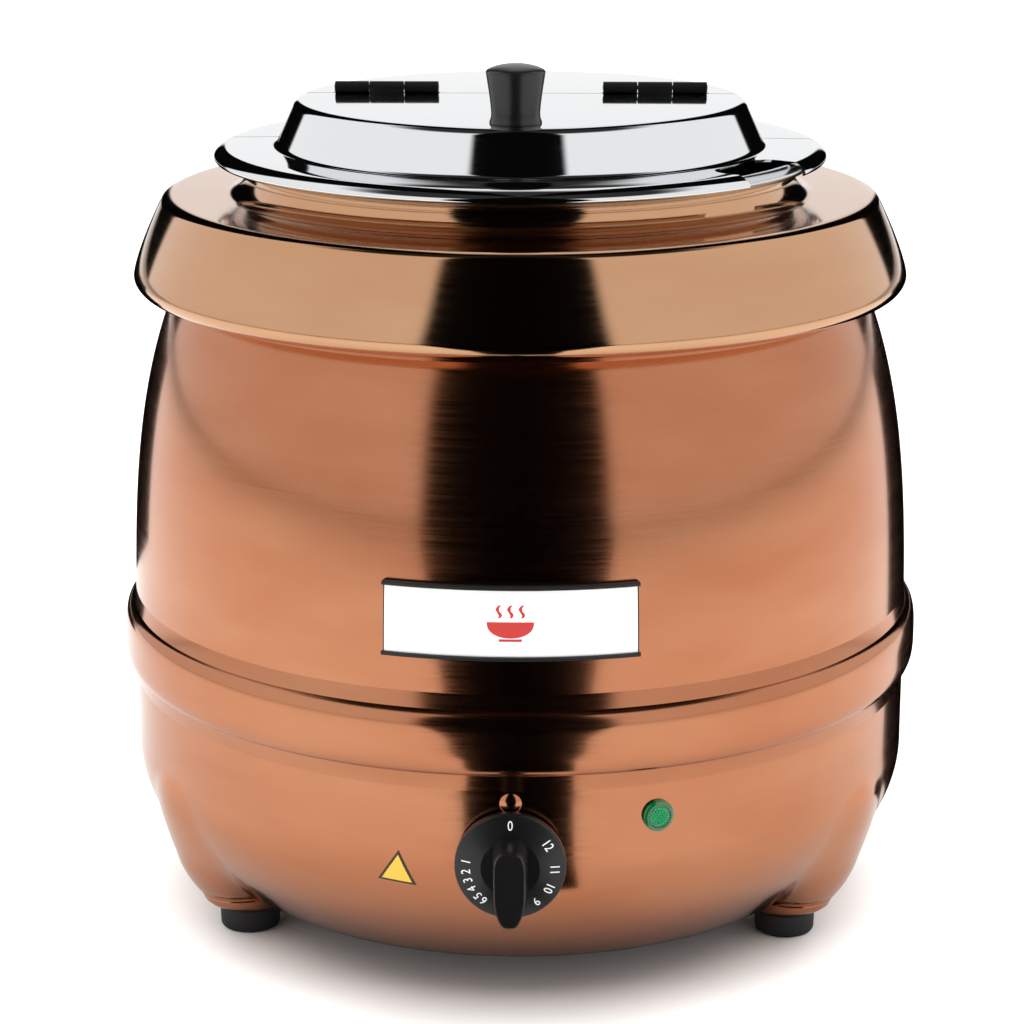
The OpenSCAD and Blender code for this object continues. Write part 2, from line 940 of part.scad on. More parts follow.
module gland_nut() {
    color("#1c1c1c")
    at_azimuth(180)
        difference() {
            hex_out_front(body_r - 7, body_r - 2.2, 21, gland_z);
            out_front(body_r - 8, body_r, gland_thread_r + 0.05, gland_z);
        }
}

block_at = [52, 96];
block_h = 15;

module terminal_block() {
    w = 34;
    color("#e7e3d6")
    translate([block_at[0], block_at[1], base_top_z])
        difference() {
            translate([-w / 2, -8, 0])
                cube([w, 16, block_h]);
            for (x = [-w / 3, 0, w / 3])
                translate([x, 0, 6])
                    cylinder(h = 12, r = 2.6);
        }
}

module earth_stud() {
    color("#b39a4e")
    translate([-62, 92, base_top_z])
        union() {
            cylinder(h = 16, r = 2.4);
            cylinder(h = 3, r = 5, $fn = 6);
        }
}

module internal_wiring() {
    back = thermostat_l - case_front + 8;
    block = [block_at[0], block_at[1], base_top_z + block_h + 1.5];
    from_gland = [for (side = [-1, 1]) [
        [side * gland_wire_x, gland_end_r, gland_z],
        [side * gland_wire_x, gland_end_r - 5, gland_z]
    ]];
    color("#6f3f22")
    union() {
        wire(concat(from_gland[1], [[20, 136, 60], block + [6, 4, 14], block + [6, 0, 0]]), wiring_r);
        wire(concat(from_gland[0], [[-30, 132, 60], [-62, 100, 50], [-62, 92, 36]]), wiring_r);
        wire([[12, back, dial_z - 6], [40, -120, 30], [104, -40, 30], [100, 50, 40], block], wiring_r);
        wire([polar(lamp_azimuth, body_r - 23.5, lamp_z), [62, -126, 50], [70, -104, 28]], wiring_r);
    }
}

// ---------- Pot ----------

module inner_pot() {
    color("#d4d6d7")
    union() {
        turned(sheet(cup_path(pot_r, pot_bottom_z, well_rim_top_z + pot_t + 0.2, pot_corner_r), pot_t));
        turned([
            [pot_r - pot_t, well_rim_top_z + 0.2],
            [roll_r - rim_roll_r + 1, well_rim_top_z + 0.2],
            [roll_r - rim_roll_r + 1, well_rim_top_z + 0.2 + pot_t],
            [pot_r - pot_t, well_rim_top_z + 0.2 + pot_t]
        ]);
        difference() {
            translate([0, 0, well_rim_top_z + rim_roll_r])
                rotate_extrude()
                    translate([roll_r, 0])
                        circle(r = rim_roll_r);
            translate([0, 0, well_rim_top_z + rim_roll_r])
                rotate_extrude()
                    translate([roll_r, 0])
                        circle(r = rim_roll_r - pot_t);
        }
    }
}

// ---------- Lid ----------

function lid_path() = concat(
    arc(brim_roll, brim_roll_r, -70, 45, 8),
    [for (i = [1 : 5])
        bezier(brim_turn, brim_turn + [-1.2, 0.8], brim_flat + [4, 0], brim_flat, 5)[i]],
    [[dome_foot_r + 3, brim_z + 0.4], [dome_foot_r + 0.8, brim_z + 1.3]],
    [[dome_foot_r - 0.6, brim_z + 3]],
    arc([dome_top_r - 4, lid_top_z - 4], 4, 20, 90, 6),
    [[0, lid_top_z]]
);

module lid_sheet() {
    turned(sheet(lid_path(), lid_t));
}

// Slot through the lid's top for one knuckle's web
module web_slot(x, w, side) {
    translate([x - w / 2 - 0.4, split_y + (side > 0 ? 0 : -knuckle_r - 0.4), lid_top_z - 4])
        cube([w + 0.8, knuckle_r + 0.4, 8]);
}

// The front leaf has the middle knuckle, the rear leaf the two outer ones
function knuckle_offsets(side) = side < 0 ? [0] : [-knuckle_w, knuckle_w];

module half_of_lid(side) {
    far = lid_r + 10;
    difference() {
        lid_sheet();
        translate([-far, side > 0 ? split_y + split_gap / 2 - 2 * far : split_y - split_gap / 2, 0])
            cube([2 * far, 2 * far, lid_top_z + 50]);
        for (hinge = [-hinge_x, hinge_x])
            for (dx = knuckle_offsets(side))
                web_slot(hinge + dx, knuckle_w, side);
    }
}

module notch_cutter() {
    w = notch_w / 2;
    c = notch_corner_r;
    at_azimuth(notch_azimuth)
        translate([0, 0, brim_z - 10])
            union() {
                translate([-w, -notch_r - 40 - c, 0])
                    cube([2 * w, 40, 30]);
                translate([-w + c, -notch_r - c - eps, 0])
                    cube([2 * (w - c), c + eps, 30]);
                for (x = [-1, 1])
                    translate([x * (w - c), -notch_r - c, 0])
                        cylinder(h = 30, r = c);
            }
}

module lid_rear_half() {
    color("#dfe1e2")
        half_of_lid(1);
}

module lid_front_half() {
    color("#dfe1e2")
    difference() {
        half_of_lid(-1);
        notch_cutter();
        translate([0, -knob_y, lid_top_z - 5])
            cylinder(h = 10, r = knob_screw_r + 0.2);
    }
}

module knuckle(x, w) {
    translate([x - w / 2, split_y, hinge_z])
        rotate([0, 90, 0])
            cylinder(h = w, r = knuckle_r);
}

// One leaf with its knuckles: side is -1 for the front leaf and +1 for the rear leaf
module hinge_leaf(x, side) {
    web_in = knuckle_r - leaf_t;
    leaf_z = lid_top_z - lid_t - leaf_t;
    leaf_w = side < 0 ? knuckle_w : hinge_w;
    y0 = side < 0 ? split_y - knuckle_r - leaf_l : split_y + web_in;
    color("#121212")
    difference() {
        union() {
            for (dx = knuckle_offsets(side)) {
                w = knuckle_w - knuckle_gap;
                knuckle(x + dx, w);
                translate([x + dx - w / 2, side < 0 ? split_y - knuckle_r : split_y + web_in, leaf_z])
                    cube([w, leaf_t, hinge_z - leaf_z]);
            }
            translate([x - leaf_w / 2 + 0.2, y0, leaf_z])
                cube([leaf_w - 0.4, leaf_l + leaf_t, leaf_t]);
        }
        translate([x - hinge_w, split_y, hinge_z])
            rotate([0, 90, 0])
                cylinder(h = 2 * hinge_w, r = pin_r + pin_clearance);
    }
}

module rear_leaf_left() { hinge_leaf(-hinge_x, 1); }
module rear_leaf_right() { hinge_leaf(hinge_x, 1); }
module front_leaf_left() { hinge_leaf(-hinge_x, -1); }
module front_leaf_right() { hinge_leaf(hinge_x, -1); }

module hinge_pins() {
    color("#8c8e90")
    for (x = [-hinge_x, hinge_x])
        translate([x - hinge_w / 2, split_y, hinge_z])
            rotate([0, 90, 0])
                cylinder(h = hinge_w, r = pin_r);
}

module lid_knob() {
    waist_r = knob_waist_d / 2;
    color("#0f0f10")
    translate([0, -knob_y, lid_top_z])
        difference() {
            turned(concat(
                [[0, 0.1], [waist_r + 0.75, 0.1], [waist_r + 0.75, 0.8], [waist_r, 2.4]],
                [[knob_r - 0.5, knob_h - 4], [knob_r, knob_h - 3.2], [knob_r - 0.2, knob_h - 2.6]],
                [for (i = [1 : 6]) [(knob_r - 0.2) * cos(15 * i), knob_h - 2.6 + 2.6 * sin(15 * i)]]
            ));
            translate([0, 0, -1])
                cylinder(h = 13, r = knob_screw_r + 0.02);
        }
}

module knob_screw() {
    color("#a5a7a9")
    translate([0, -knob_y, lid_top_z - lid_t])
        union() {
            cylinder(h = 12, r = knob_screw_r);
            translate([0, 0, -2.5])
                cylinder(h = 2.5, r = 4.6);
        }
}

lower_shell();
upper_shell();
top_collar();
collar_gasket();
water_well();
insulation_sleeve();
heating_element();
heat_spreader();
element_clamp();
thermal_cutout();
tie_stud();
tie_nuts();
base_plate();
base_screws();
rubber_foot_left();
rubber_foot_right();
rubber_foot_rear();
foot_screws();
foot_nuts();
thermostat();
thermostat_nut();
sensing_bulb();
pilot_lamp_body();
pilot_lamp_lens();
label_holder();
hot_surface_mark();
rating_plate();
cord_gland();
gland_nut();
terminal_block();
earth_stud();
internal_wiring();
inner_pot();
lid_rear_half();
rear_leaf_left();
rear_leaf_right();
hinge_pins();
lid_front_half();
front_leaf_left();
front_leaf_right();
lid_knob();
knob_screw();
dial_knob();
dial_shaft();
label_card();
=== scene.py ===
"""Soup kettle: the visible pieces and finishes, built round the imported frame.

Lengths are in mm until a mesh is made, and outlines are lists of (radius, height).
"""
import math

import bmesh
import bpy
import numpy as np
from mathutils import Matrix, Vector


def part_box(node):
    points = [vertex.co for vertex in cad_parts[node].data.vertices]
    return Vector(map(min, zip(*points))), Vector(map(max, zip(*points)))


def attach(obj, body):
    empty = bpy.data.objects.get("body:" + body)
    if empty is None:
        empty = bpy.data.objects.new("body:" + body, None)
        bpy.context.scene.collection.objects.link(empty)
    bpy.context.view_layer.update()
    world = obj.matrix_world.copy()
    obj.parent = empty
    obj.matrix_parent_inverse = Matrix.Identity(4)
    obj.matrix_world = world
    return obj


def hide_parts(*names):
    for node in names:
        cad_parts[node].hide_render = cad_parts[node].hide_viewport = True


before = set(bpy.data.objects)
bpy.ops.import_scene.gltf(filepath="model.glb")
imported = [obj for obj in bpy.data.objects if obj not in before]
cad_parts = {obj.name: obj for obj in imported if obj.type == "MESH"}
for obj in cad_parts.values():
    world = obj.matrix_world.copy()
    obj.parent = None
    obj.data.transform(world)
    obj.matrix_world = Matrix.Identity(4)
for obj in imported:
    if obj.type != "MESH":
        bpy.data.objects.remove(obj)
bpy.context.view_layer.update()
MM = 0.001


# ---------------------------------------------------------------- sizes, read from the frame


def lowest(node_name):
    """Low corner of a CAD node's box, in mm."""
    return np.array(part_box(node_name)[0]) / MM


def highest(node_name):
    """High corner of a CAD node's box, in mm."""
    return np.array(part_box(node_name)[1]) / MM


SHELL_T = 1.0
BOTTOM_Z = lowest("base_plate")[2] - SHELL_T
BOTTOM_R = highest("base_plate")[0] + 3
BEAD_R = highest("upper_shell")[0]
BEAD_PROUD = 4.6
BODY_R = BEAD_R - BEAD_PROUD + 0.15
LIP_Z = lowest("top_collar")[2]
NECK_TOP = highest("top_collar")[2]
COLLAR_R = highest("top_collar")[0]
WALL_TOP_Z = LIP_Z - 8
WALL_TOP_R = COLLAR_R - 14
WELL_R = highest("water_well")[0] - 2.6
WELL_TOP = highest("water_well")[2]
POT_BOTTOM = lowest("inner_pot")[2]
RIM_TOP = highest("inner_pot")[2]
RIM_R = highest("inner_pot")[0]
POT_R = WELL_R - 4.9
LID_R = highest("lid_front_half")[0]
LID_TOP = highest("lid_front_half")[2]
LID_UNDER = RIM_TOP + 0.3
LID_T = 1.0
SPLIT_Y = lowest("lid_rear_half")[1] - 0.4
HINGE_Z = (lowest("hinge_pins")[2] + highest("hinge_pins")[2]) / 2
KNOB_Y = (lowest("lid_knob")[1] + highest("lid_knob")[1]) / 2
DIAL_Z = (lowest("dial_knob")[2] + highest("dial_knob")[2]) / 2
DIAL_BACK = -highest("dial_knob")[1]
DIAL_FRONT = -lowest("dial_knob")[1]
DIAL_R = highest("dial_knob")[0]
LAMP = (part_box("pilot_lamp_lens")[0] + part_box("pilot_lamp_lens")[1]) / 2 / MM
LABEL_LOW = lowest("label_holder")[2]
LABEL_HIGH = highest("label_holder")[2]
FOOT_R = (highest("rubber_foot_right")[0] - lowest("rubber_foot_right")[0]) / 2
FOOT_TOP = highest("rubber_foot_right")[2]
FOOT_RING = highest("rubber_foot_rear")[1] - FOOT_R
FOOT_AZIMUTHS = {"left": -60, "right": 60, "rear": 180}
GLAND_Z = (lowest("cord_gland")[2] + highest("cord_gland")[2]) / 2
GLAND_END = highest("cord_gland")[1]


# ---------------------------------------------------------------- outlines


def unit(v):
    """A vector of length 1 along v."""
    return v / np.linalg.norm(v)


def bezier(a, b, c, d, steps):
    """Points of a cubic curve, without its first one."""
    a, b, c, d = (np.array(p, float) for p in (a, b, c, d))
    ts = [i / steps for i in range(1, steps + 1)]
    return [(1 - t) ** 3 * a + 3 * (1 - t) ** 2 * t * b + 3 * (1 - t) * t * t * c + t**3 * d for t in ts]


def arc(centre, radius, start, end, steps):
    """Points on part of a circle, from one angle to another, in degrees."""
    angles = np.radians(np.linspace(start, end, steps + 1))
    return [np.array(centre) + radius * np.array([math.cos(a), math.sin(a)]) for a in angles]


def rounded(corners, steps=5):
    """Open outline through corners (r, z, fillet radius), with each corner rounded to its fillet."""
    points = [np.array(c[:2], float) for c in corners]
    out = [points[0]]
    for i in range(1, len(points) - 1):
        fillet = corners[i][2] if len(corners[i]) > 2 else 0
        if fillet == 0:
            out.append(points[i])
            continue
        into, away = unit(points[i - 1] - points[i]), unit(points[i + 1] - points[i])
        half = math.acos(max(-1, min(1, float(into @ away)))) / 2
        reach = fillet / math.tan(half)
        start, end = points[i] + reach * into, points[i] + reach * away
        out.append(start)
        out += bezier(start, start - reach * 0.55 * into, end - reach * 0.55 * away, end, steps)
    out.append(points[-1])
    return out


def thick(path, t):
    """Closed outline of a sheet of thickness t whose outer face follows the path."""
    p = [np.array(q, float) for q in path]
    back = []
    for i in range(len(p)):
        before = unit(p[max(i, 1)] - p[max(i, 1) - 1])
        after = unit(p[min(i, len(p) - 2) + 1] - p[min(i, len(p) - 2)])
        a, b = np.array([before[1], -before[0]]), np.array([after[1], -after[0]])
        back.append(p[i] - t * (a + b) / max(0.4, 1 + a @ b))
    return p + back[::-1]


# ---------------------------------------------------------------- meshes


def make_mesh(name, verts_mm, faces):
    """A mesh out of vertices in mm."""
    mesh = bpy.data.meshes.new(name)
    mesh.from_pydata([tuple(np.array(v) * MM) for v in verts_mm], [], faces)
    return mesh


def piece(name, meshes, material, body, replaces=(), sharp=35):
    bm = bmesh.new()
    for mesh in meshes if isinstance(meshes, list) else [meshes]:
        bm.from_mesh(mesh)
        bpy.data.meshes.remove(mesh)
    bmesh.ops.remove_doubles(bm, verts=bm.verts, dist=1e-7)
    bmesh.ops.recalc_face_normals(bm, faces=bm.faces)
    whole = bpy.data.meshes.new(name)
    bm.to_mesh(whole)
    bm.free()
    whole.polygons.foreach_set("use_smooth", [True] * len(whole.polygons))
    whole.set_sharp_from_angle(angle=math.radians(sharp))
    whole.materials.append(material)
    obj = bpy.data.objects.new(name, whole)
    bpy.context.scene.collection.objects.link(obj)
    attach(obj, body)
    if replaces:
        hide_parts(*replaces)
    return obj


def lathe(outline, steps=192, closed=True, name="turned"):
    """Turns an outline of (r, z) about Z. Points on the axis become poles."""
    verts, rings = [], []
    for r, z in outline:
        if r < 1e-4:
            rings.append([len(verts)] * steps)
            verts.append((0, 0, z))
            continue
        rings.append(list(range(len(verts), len(verts) + steps)))
        angles = [2 * math.pi * k / steps for k in range(steps)]
        verts += [(r * math.sin(a), -r * math.cos(a), z) for a in angles]
    faces = []
    count = len(rings) if closed else len(rings) - 1
    for i in range(count):
        low, high = rings[i], rings[(i + 1) % len(rings)]
        for k in range(steps):
            quad = [low[k], low[(k + 1) % steps], high[(k + 1) % steps], high[k]]
            quad = list(dict.fromkeys(quad))
            if len(quad) > 2:
                faces.append(quad)
    return make_mesh(name, verts, faces)


def stack_mesh(name, verts, steps):
    """Closed mesh over rings of vertices that are stacked one on another."""
    faces = [list(range(steps))[::-1], [len(verts) - steps + k for k in range(steps)]]
    for low in range(0, len(verts) - steps, steps):
        for k in range(steps):
            after = (k + 1) % steps
            faces.append([low + k, low + after, low + steps + after, low + steps + k])
    return make_mesh(name, verts, faces)


def moved(mesh, matrix):
    """The same mesh, moved by a matrix whose shift is in mm."""
    m = matrix.copy()
    m.translation = m.translation * MM
    mesh.transform(m)
    if m.determinant() < 0:
        mesh.flip_normals()
    return mesh


def azimuth_turn(degrees):
    """Turns something built at the front (-Y) to an azimuth, counted towards +X."""
    return Matrix.Rotation(math.radians(degrees), 4, "Z")


def facing_front(y, z, x=0):
    """Stands something turned about Z so that its +Z points out of the front, at y and z."""
    return Matrix.Translation((x, -y, z)) @ Matrix.Rotation(math.radians(90), 4, "X")


def box_mesh(low, high, bevel=0.0):
    """A box between two corners, with its edges bevelled."""
    bm = bmesh.new()
    bmesh.ops.create_cube(bm, size=1)
    low, high = np.array(low, float), np.array(high, float)
    for v in bm.verts:
        v.co = Vector(((low + high) / 2 + np.array(v.co) * (high - low)) * MM)
    if bevel:
        bmesh.ops.bevel(bm, geom=bm.edges[:], offset=bevel * MM, segments=3, profile=0.5, affect="EDGES")
    mesh = bpy.data.meshes.new("box")
    bm.to_mesh(mesh)
    bm.free()
    return mesh


def prism(outline, low, high):
    """Closed prism over an outline of (x, y), between two heights."""
    n = len(outline)
    verts = [(x, y, low) for x, y in outline] + [(x, y, high) for x, y in outline]
    faces = [list(range(n))[::-1], list(range(n, 2 * n))]
    faces += [[i, (i + 1) % n, n + (i + 1) % n, n + i] for i in range(n)]
    return make_mesh("prism", verts, faces)


def outward(mesh):
    """The same closed mesh, with every face turned outwards."""
    bm = bmesh.new()
    bm.from_mesh(mesh)
    bmesh.ops.remove_doubles(bm, verts=bm.verts, dist=1e-7)
    bmesh.ops.recalc_face_normals(bm, faces=bm.faces)
    bm.to_mesh(mesh)
    bm.free()
    return mesh


def cut(mesh, cutter):
    """One mesh less another, given back as a plain mesh."""
    a = bpy.data.objects.new("cut_a", outward(mesh))
    b = bpy.data.objects.new("cut_b", outward(cutter))
    for o in (a, b):
        bpy.context.scene.collection.objects.link(o)
    step = a.modifiers.new("cut", "BOOLEAN")
    step.object = b
    step.operation = "DIFFERENCE"
    step.solver = "EXACT"
    graph = bpy.context.evaluated_depsgraph_get()
    result = bpy.data.meshes.new_from_object(a.evaluated_get(graph))
    bpy.data.objects.remove(a)
    bpy.data.objects.remove(b)
    bpy.data.meshes.remove(mesh)
    bpy.data.meshes.remove(cutter)
    return result


def keep_side(mesh, y, sign):
    """Keeps the part of a closed mesh with sign * (Y - y) > 0, and closes the cut."""
    bm = bmesh.new()
    bm.from_mesh(mesh)
    geometry = bm.verts[:] + bm.edges[:] + bm.faces[:]
    got = bmesh.ops.bisect_plane(
        bm, geom=geometry, plane_co=(0, y * MM, 0), plane_no=(0, -sign, 0), clear_outer=True
    )
    rim = [e for e in got["geom_cut"] if isinstance(e, bmesh.types.BMEdge)]
    bmesh.ops.triangle_fill(bm, use_beauty=True, use_dissolve=False, edges=rim)
    bm.to_mesh(mesh)
    bm.free()
    return mesh


# ---------------------------------------------------------------- materials


def colour(hex_code):
    """sRGB hex to linear."""
    parts = [int(hex_code[i : i + 2], 16) / 255 for i in (1, 3, 5)]
    return tuple(c / 12.92 if c <= 0.04045 else ((c + 0.055) / 1.055) ** 2.4 for c in parts) + (1.0,)


def add(tree, kind, inputs=None, **settings):
    """Adds a node. An input that is a socket is linked, and any other is set."""
    new = tree.nodes.new("ShaderNode" + kind)
    for key, value in settings.items():
        setattr(new, key, value)
    for key, value in (inputs or {}).items():
        if isinstance(value, bpy.types.NodeSocket):
            tree.links.new(value, new.inputs[key])
        else:
            new.inputs[key].default_value = value
    return new


def start_material(name, **uniform):
    """A material with its shader's uniform values set on the shader itself."""
    material = bpy.data.materials.new(name)
    material.use_nodes = True
    shader = material.node_tree.nodes["Principled BSDF"]
    for key, value in uniform.items():
        shader.inputs[key.replace("_", " ")].default_value = value
    place = add(material.node_tree, "TexCoord").outputs["Object"]
    return material, material.node_tree, shader, place


def spread_roughness(tree, shader, pattern, middle, low, high):
    """Roughness that follows a noise pattern, between two shares of its middle value."""
    ends = {"From Min": 0.3, "From Max": 0.7, "To Min": middle * low, "To Max": middle * high}
    rough = add(tree, "MapRange", {"Value": pattern, **ends}).outputs[0]
    tree.links.new(rough, shader.inputs["Roughness"])


def brushed_copper(name, tone, warm_tone, roughness):
    """Steel sheet, copper plated, brushed round the body and lacquered: warm mirror with fine level lines."""
    material, tree, shader, place = start_material(
        name, Metallic=1.0, Anisotropic=0.3, Anisotropic_Rotation=0.25, Coat_Weight=0.3, Coat_Roughness=0.06
    )
    level = add(tree, "Mapping", {"Vector": place, "Scale": (14, 14, BRUSH_LINES_PER_M)}).outputs[0]
    lines = add(tree, "TexNoise", {"Vector": level, "Scale": 1.0, "Detail": 3.0}).outputs[0]
    broad = add(tree, "Mapping", {"Vector": place, "Scale": (9, 9, 30)}).outputs[0]
    cloud = add(tree, "TexNoise", {"Vector": broad, "Scale": 1.0, "Detail": 4.0}).outputs[0]
    shade = add(tree, "MapRange", {"Value": cloud, "From Min": 0.3, "From Max": 0.7}).outputs[0]
    mixed = add(
        tree, "Mix", {"Factor": shade, "A": colour(tone), "B": colour(warm_tone)}, data_type="RGBA"
    )
    tree.links.new(mixed.outputs["Result"], shader.inputs["Base Color"])
    spread_roughness(tree, shader, lines, roughness, 0.8, 1.25)
    bump = add(tree, "Bump", {"Height": lines, "Strength": 0.035, "Distance": 0.0002}).outputs[0]
    tree.links.new(bump, shader.inputs["Normal"])
    around = add(tree, "Tangent", direction_type="RADIAL", axis="Z").outputs[0]
    tree.links.new(around, shader.inputs["Tangent"])
    return material


def steel(name, tone, roughness, grain_mm=0.5, relief=0.04):
    """Stainless or plated steel: cool metal with fine spun or rolled lines."""
    material, tree, shader, place = start_material(name, Metallic=1.0)
    shader.inputs["Base Color"].default_value = colour(tone)
    fine = 1 / (grain_mm * MM)
    level = add(tree, "Mapping", {"Vector": place, "Scale": (20, 20, fine)}).outputs[0]
    lines = add(tree, "TexNoise", {"Vector": level, "Scale": 1.0, "Detail": 2.0}).outputs[0]
    spread_roughness(tree, shader, lines, roughness, 0.8, 1.3)
    bump = add(tree, "Bump", {"Height": lines, "Strength": relief, "Distance": 0.0001}).outputs[0]
    tree.links.new(bump, shader.inputs["Normal"])
    return material


def moulded(name, tone, roughness, grain_mm=0.4, relief=0.12, **uniform):
    """Moulded plastic or rubber: an even colour with a fine grain from the mould."""
    material, tree, shader, place = start_material(name, **uniform)
    grain = add(tree, "TexNoise", {"Vector": place, "Scale": 1 / (grain_mm * MM), "Detail": 2.0}).outputs[0]
    pale = tuple(min(1, c * 1.25 + 0.002) for c in colour(tone)[:3]) + (1.0,)
    mixed = add(tree, "Mix", {"Factor": grain, "A": colour(tone), "B": pale}, data_type="RGBA")
    tree.links.new(mixed.outputs["Result"], shader.inputs["Base Color"])
    rough = add(
        tree, "MapRange", {"Value": grain, "To Min": roughness * 0.85, "To Max": roughness * 1.15}
    ).outputs[0]
    tree.links.new(rough, shader.inputs["Roughness"])
    bump = add(tree, "Bump", {"Height": grain, "Strength": relief, "Distance": 0.0001}).outputs[0]
    tree.links.new(bump, shader.inputs["Normal"])
    return material


# Real brushing has several lines to the millimetre: drawn at 1.5, as coarse as it needs to be to show
BRUSH_LINES_PER_M = 1500
COPPER_BODY = brushed_copper("copper_plated_brushed_body", "#c0825f", "#b4704d", 0.15)
COPPER_COLLAR = brushed_copper("copper_plated_polished_collar", "#cb9d78", "#c4926d", 0.09)
STAINLESS = steel("stainless_mirror_polished", "#e4e6e8", 0.05, 0.8, 0.015)
STAINLESS_POT = steel("stainless_spun_satin", "#c9cccf", 0.2, 0.4, 0.08)
ZINC = steel("zinc_plated_steel", "#a9acaf", 0.32, 0.6, 0.1)
ALUMINIUM = steel("aluminium_cast", "#b9bcc0", 0.45, 1.2, 0.2)
SHEATH = steel("element_sheath_oxidised", "#4a4a4e", 0.5, 0.5, 0.2)
BRASS = steel("brass_turned", "#b79a58", 0.25, 0.3, 0.1)
COPPER_TUBE = steel("copper_tube_drawn", "#b0653c", 0.3, 0.5, 0.1)
BAKELITE = moulded("phenolic_black_moulded", "#0c0c0d", 0.3, 0.5, 0.05)
BLACK_NYLON = moulded("nylon_black_moulded", "#121213", 0.45, 0.3, 0.15)
BLACK_ENAMEL = moulded("black_enamelled_steel", "#0a0b0b", 0.35, 0.6, 0.08)
RUBBER = moulded("rubber_black_moulded", "#101011", 0.6, 0.5, 0.25)
SILICONE = moulded("silicone_grey", "#3c3c3d", 0.55)
WOOL = moulded("mineral_wool", "#cfc7ad", 0.95, 1.5, 0.8)
CARD = moulded("pvc_card_white", "#f3f3f1", 0.35, 0.4, 0.02)
RED_PRINT = moulded("print_red", "#b8302c", 0.4, 0.3, 0.02)
WHITE_PRINT = moulded("print_white", "#dfe0e0", 0.45, 0.3, 0.02)
YELLOW_PRINT = moulded("print_yellow_foil", "#d9ae35", 0.4, 0.3, 0.03)
DARK_PRINT = moulded("print_dark_brown", "#2c2016", 0.4, 0.3, 0.03)
CREAM = moulded("urea_cream_moulded", "#d8d2bf", 0.4)
WIRE = moulded("silicone_sleeve_brown", "#5e3823", 0.5)
GREEN = moulded(
    "polycarbonate_green_clear", "#04552a", 0.08, 0.9, 0.02, IOR=1.58, Coat_Weight=1.0, Coat_Roughness=0.03
)
GREEN_CORE = moulded("polycarbonate_green_facets", "#2f9460", 0.12, 0.6, 0.05, IOR=1.58)

NODE_FINISH = {
    "collar_gasket": SILICONE,
    "insulation_sleeve": WOOL,
    "heating_element": SHEATH,
    "heat_spreader": ALUMINIUM,
    "element_clamp": ZINC,
    "thermal_cutout": BLACK_NYLON,
    "tie_stud": ZINC,
    "tie_nuts": ZINC,
    "base_plate": ZINC,
    "base_screws": ZINC,
    "foot_screws": ZINC,
    "foot_nuts": ZINC,
    "thermostat": CREAM,
    "thermostat_nut": ZINC,
    "sensing_bulb": COPPER_TUBE,
    "pilot_lamp_body": BLACK_NYLON,
    "rating_plate": STAINLESS_POT,
    "gland_nut": BLACK_NYLON,
    "terminal_block": CREAM,
    "earth_stud": BRASS,
    "internal_wiring": WIRE,
    "hinge_pins": STAINLESS_POT,
    "knob_screw": ZINC,
    "dial_shaft": BRASS,
}


def finish_frame_nodes():
    """The frame's own pieces that are shown keep their shape and get their finish."""
    for name, material in NODE_FINISH.items():
        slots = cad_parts[name].material_slots
        for one in slots:
            one.material = material


# ---------------------------------------------------------------- body shell

BOWL_TOP = 76.0
WALL_CURVE_Z = 40.2
WALL_POWER = 4.56
BEAD_Z = 120.7
BEAD_HALF = 13.25


def wall_radius(z):
    """Outside radius of the barrel's plain wall at a height."""
    rise = (z - WALL_CURVE_Z) / (WALL_TOP_Z - WALL_CURVE_Z)
    return BODY_R - (BODY_R - WALL_TOP_R) * rise**WALL_POWER


def bowl_outline(steps=36):
    """The rounded bottom, from its edge up to the wall."""
    slope = math.radians(39.5)
    edge = np.array([BOTTOM_R, BOTTOM_Z])
    top = np.array([wall_radius(BOWL_TOP), BOWL_TOP])
    return bezier(edge, edge + 46 * np.array([math.cos(slope), math.sin(slope)]), top - [0, 10], top, steps)


def bead_outline(steps=40):
    """Crisp at its two creases and nearly flat in the middle."""
    out = []
    for i in range(steps + 1):
        z = BEAD_Z - math.cos(math.pi * i / steps) * BEAD_HALF
        u = abs(z - BEAD_Z) / BEAD_HALF
        out.append(np.array([wall_radius(z) + BEAD_PROUD * math.sqrt(max(0, 1 - u**4)), z]))
    return out


def shell_outline():
    """The whole outside of the barrel, from the bottom's edge to under the collar."""
    bead_top = BEAD_Z + BEAD_HALF
    wall = [np.array([wall_radius(z), z]) for z in np.linspace(bead_top, WALL_TOP_Z, 30)[1:]]
    neck_r, neck_low, neck_high = WALL_TOP_R - 6.5, WALL_TOP_Z + 12, WALL_TOP_Z + 24
    under_collar = bezier(wall[-1], wall[-1] + [-3.5, 8], (neck_r, neck_low), (neck_r, neck_high), 6)
    below_bead = [np.array([wall_radius(z), z]) for z in np.linspace(BOWL_TOP, BEAD_Z - BEAD_HALF, 9)[1:-1]]
    return bowl_outline() + below_bead + bead_outline() + wall + under_collar


# Levels of the bulge over a foot: height, middle radius, half depth, half width
BULGE_LEVELS = np.array([
    [FOOT_TOP, FOOT_RING + 0.4, FOOT_R + 0.3, FOOT_R + 0.2],
    [FOOT_TOP + 1.5, FOOT_RING + 1.2, 15.2, 14.3],
    [FOOT_TOP + 3.5, FOOT_RING + 2.1, 17, 15.6],
    [BOTTOM_Z, FOOT_RING + 2.8, 18, 16.6],
    [23, FOOT_RING + 5, 20.4, 20.5],
    [30, FOOT_RING + 7, 22, 25.5],
    [37, FOOT_RING + 8.5, 22.5, 29.5],
    [46, FOOT_RING + 11, 22, 30.5],
    [53, FOOT_RING + 13, 21.2, 28],
    [60, FOOT_RING + 14.4, 20.6, 25],
    [66, FOOT_RING + 14.6, 20.4, 22],
    [72, FOOT_RING + 13, 20, 18],
    [82, FOOT_RING + 8, 18, 12],
])
BULGE_TOP = 82.0
BULGE_HALF_ANGLE = 24


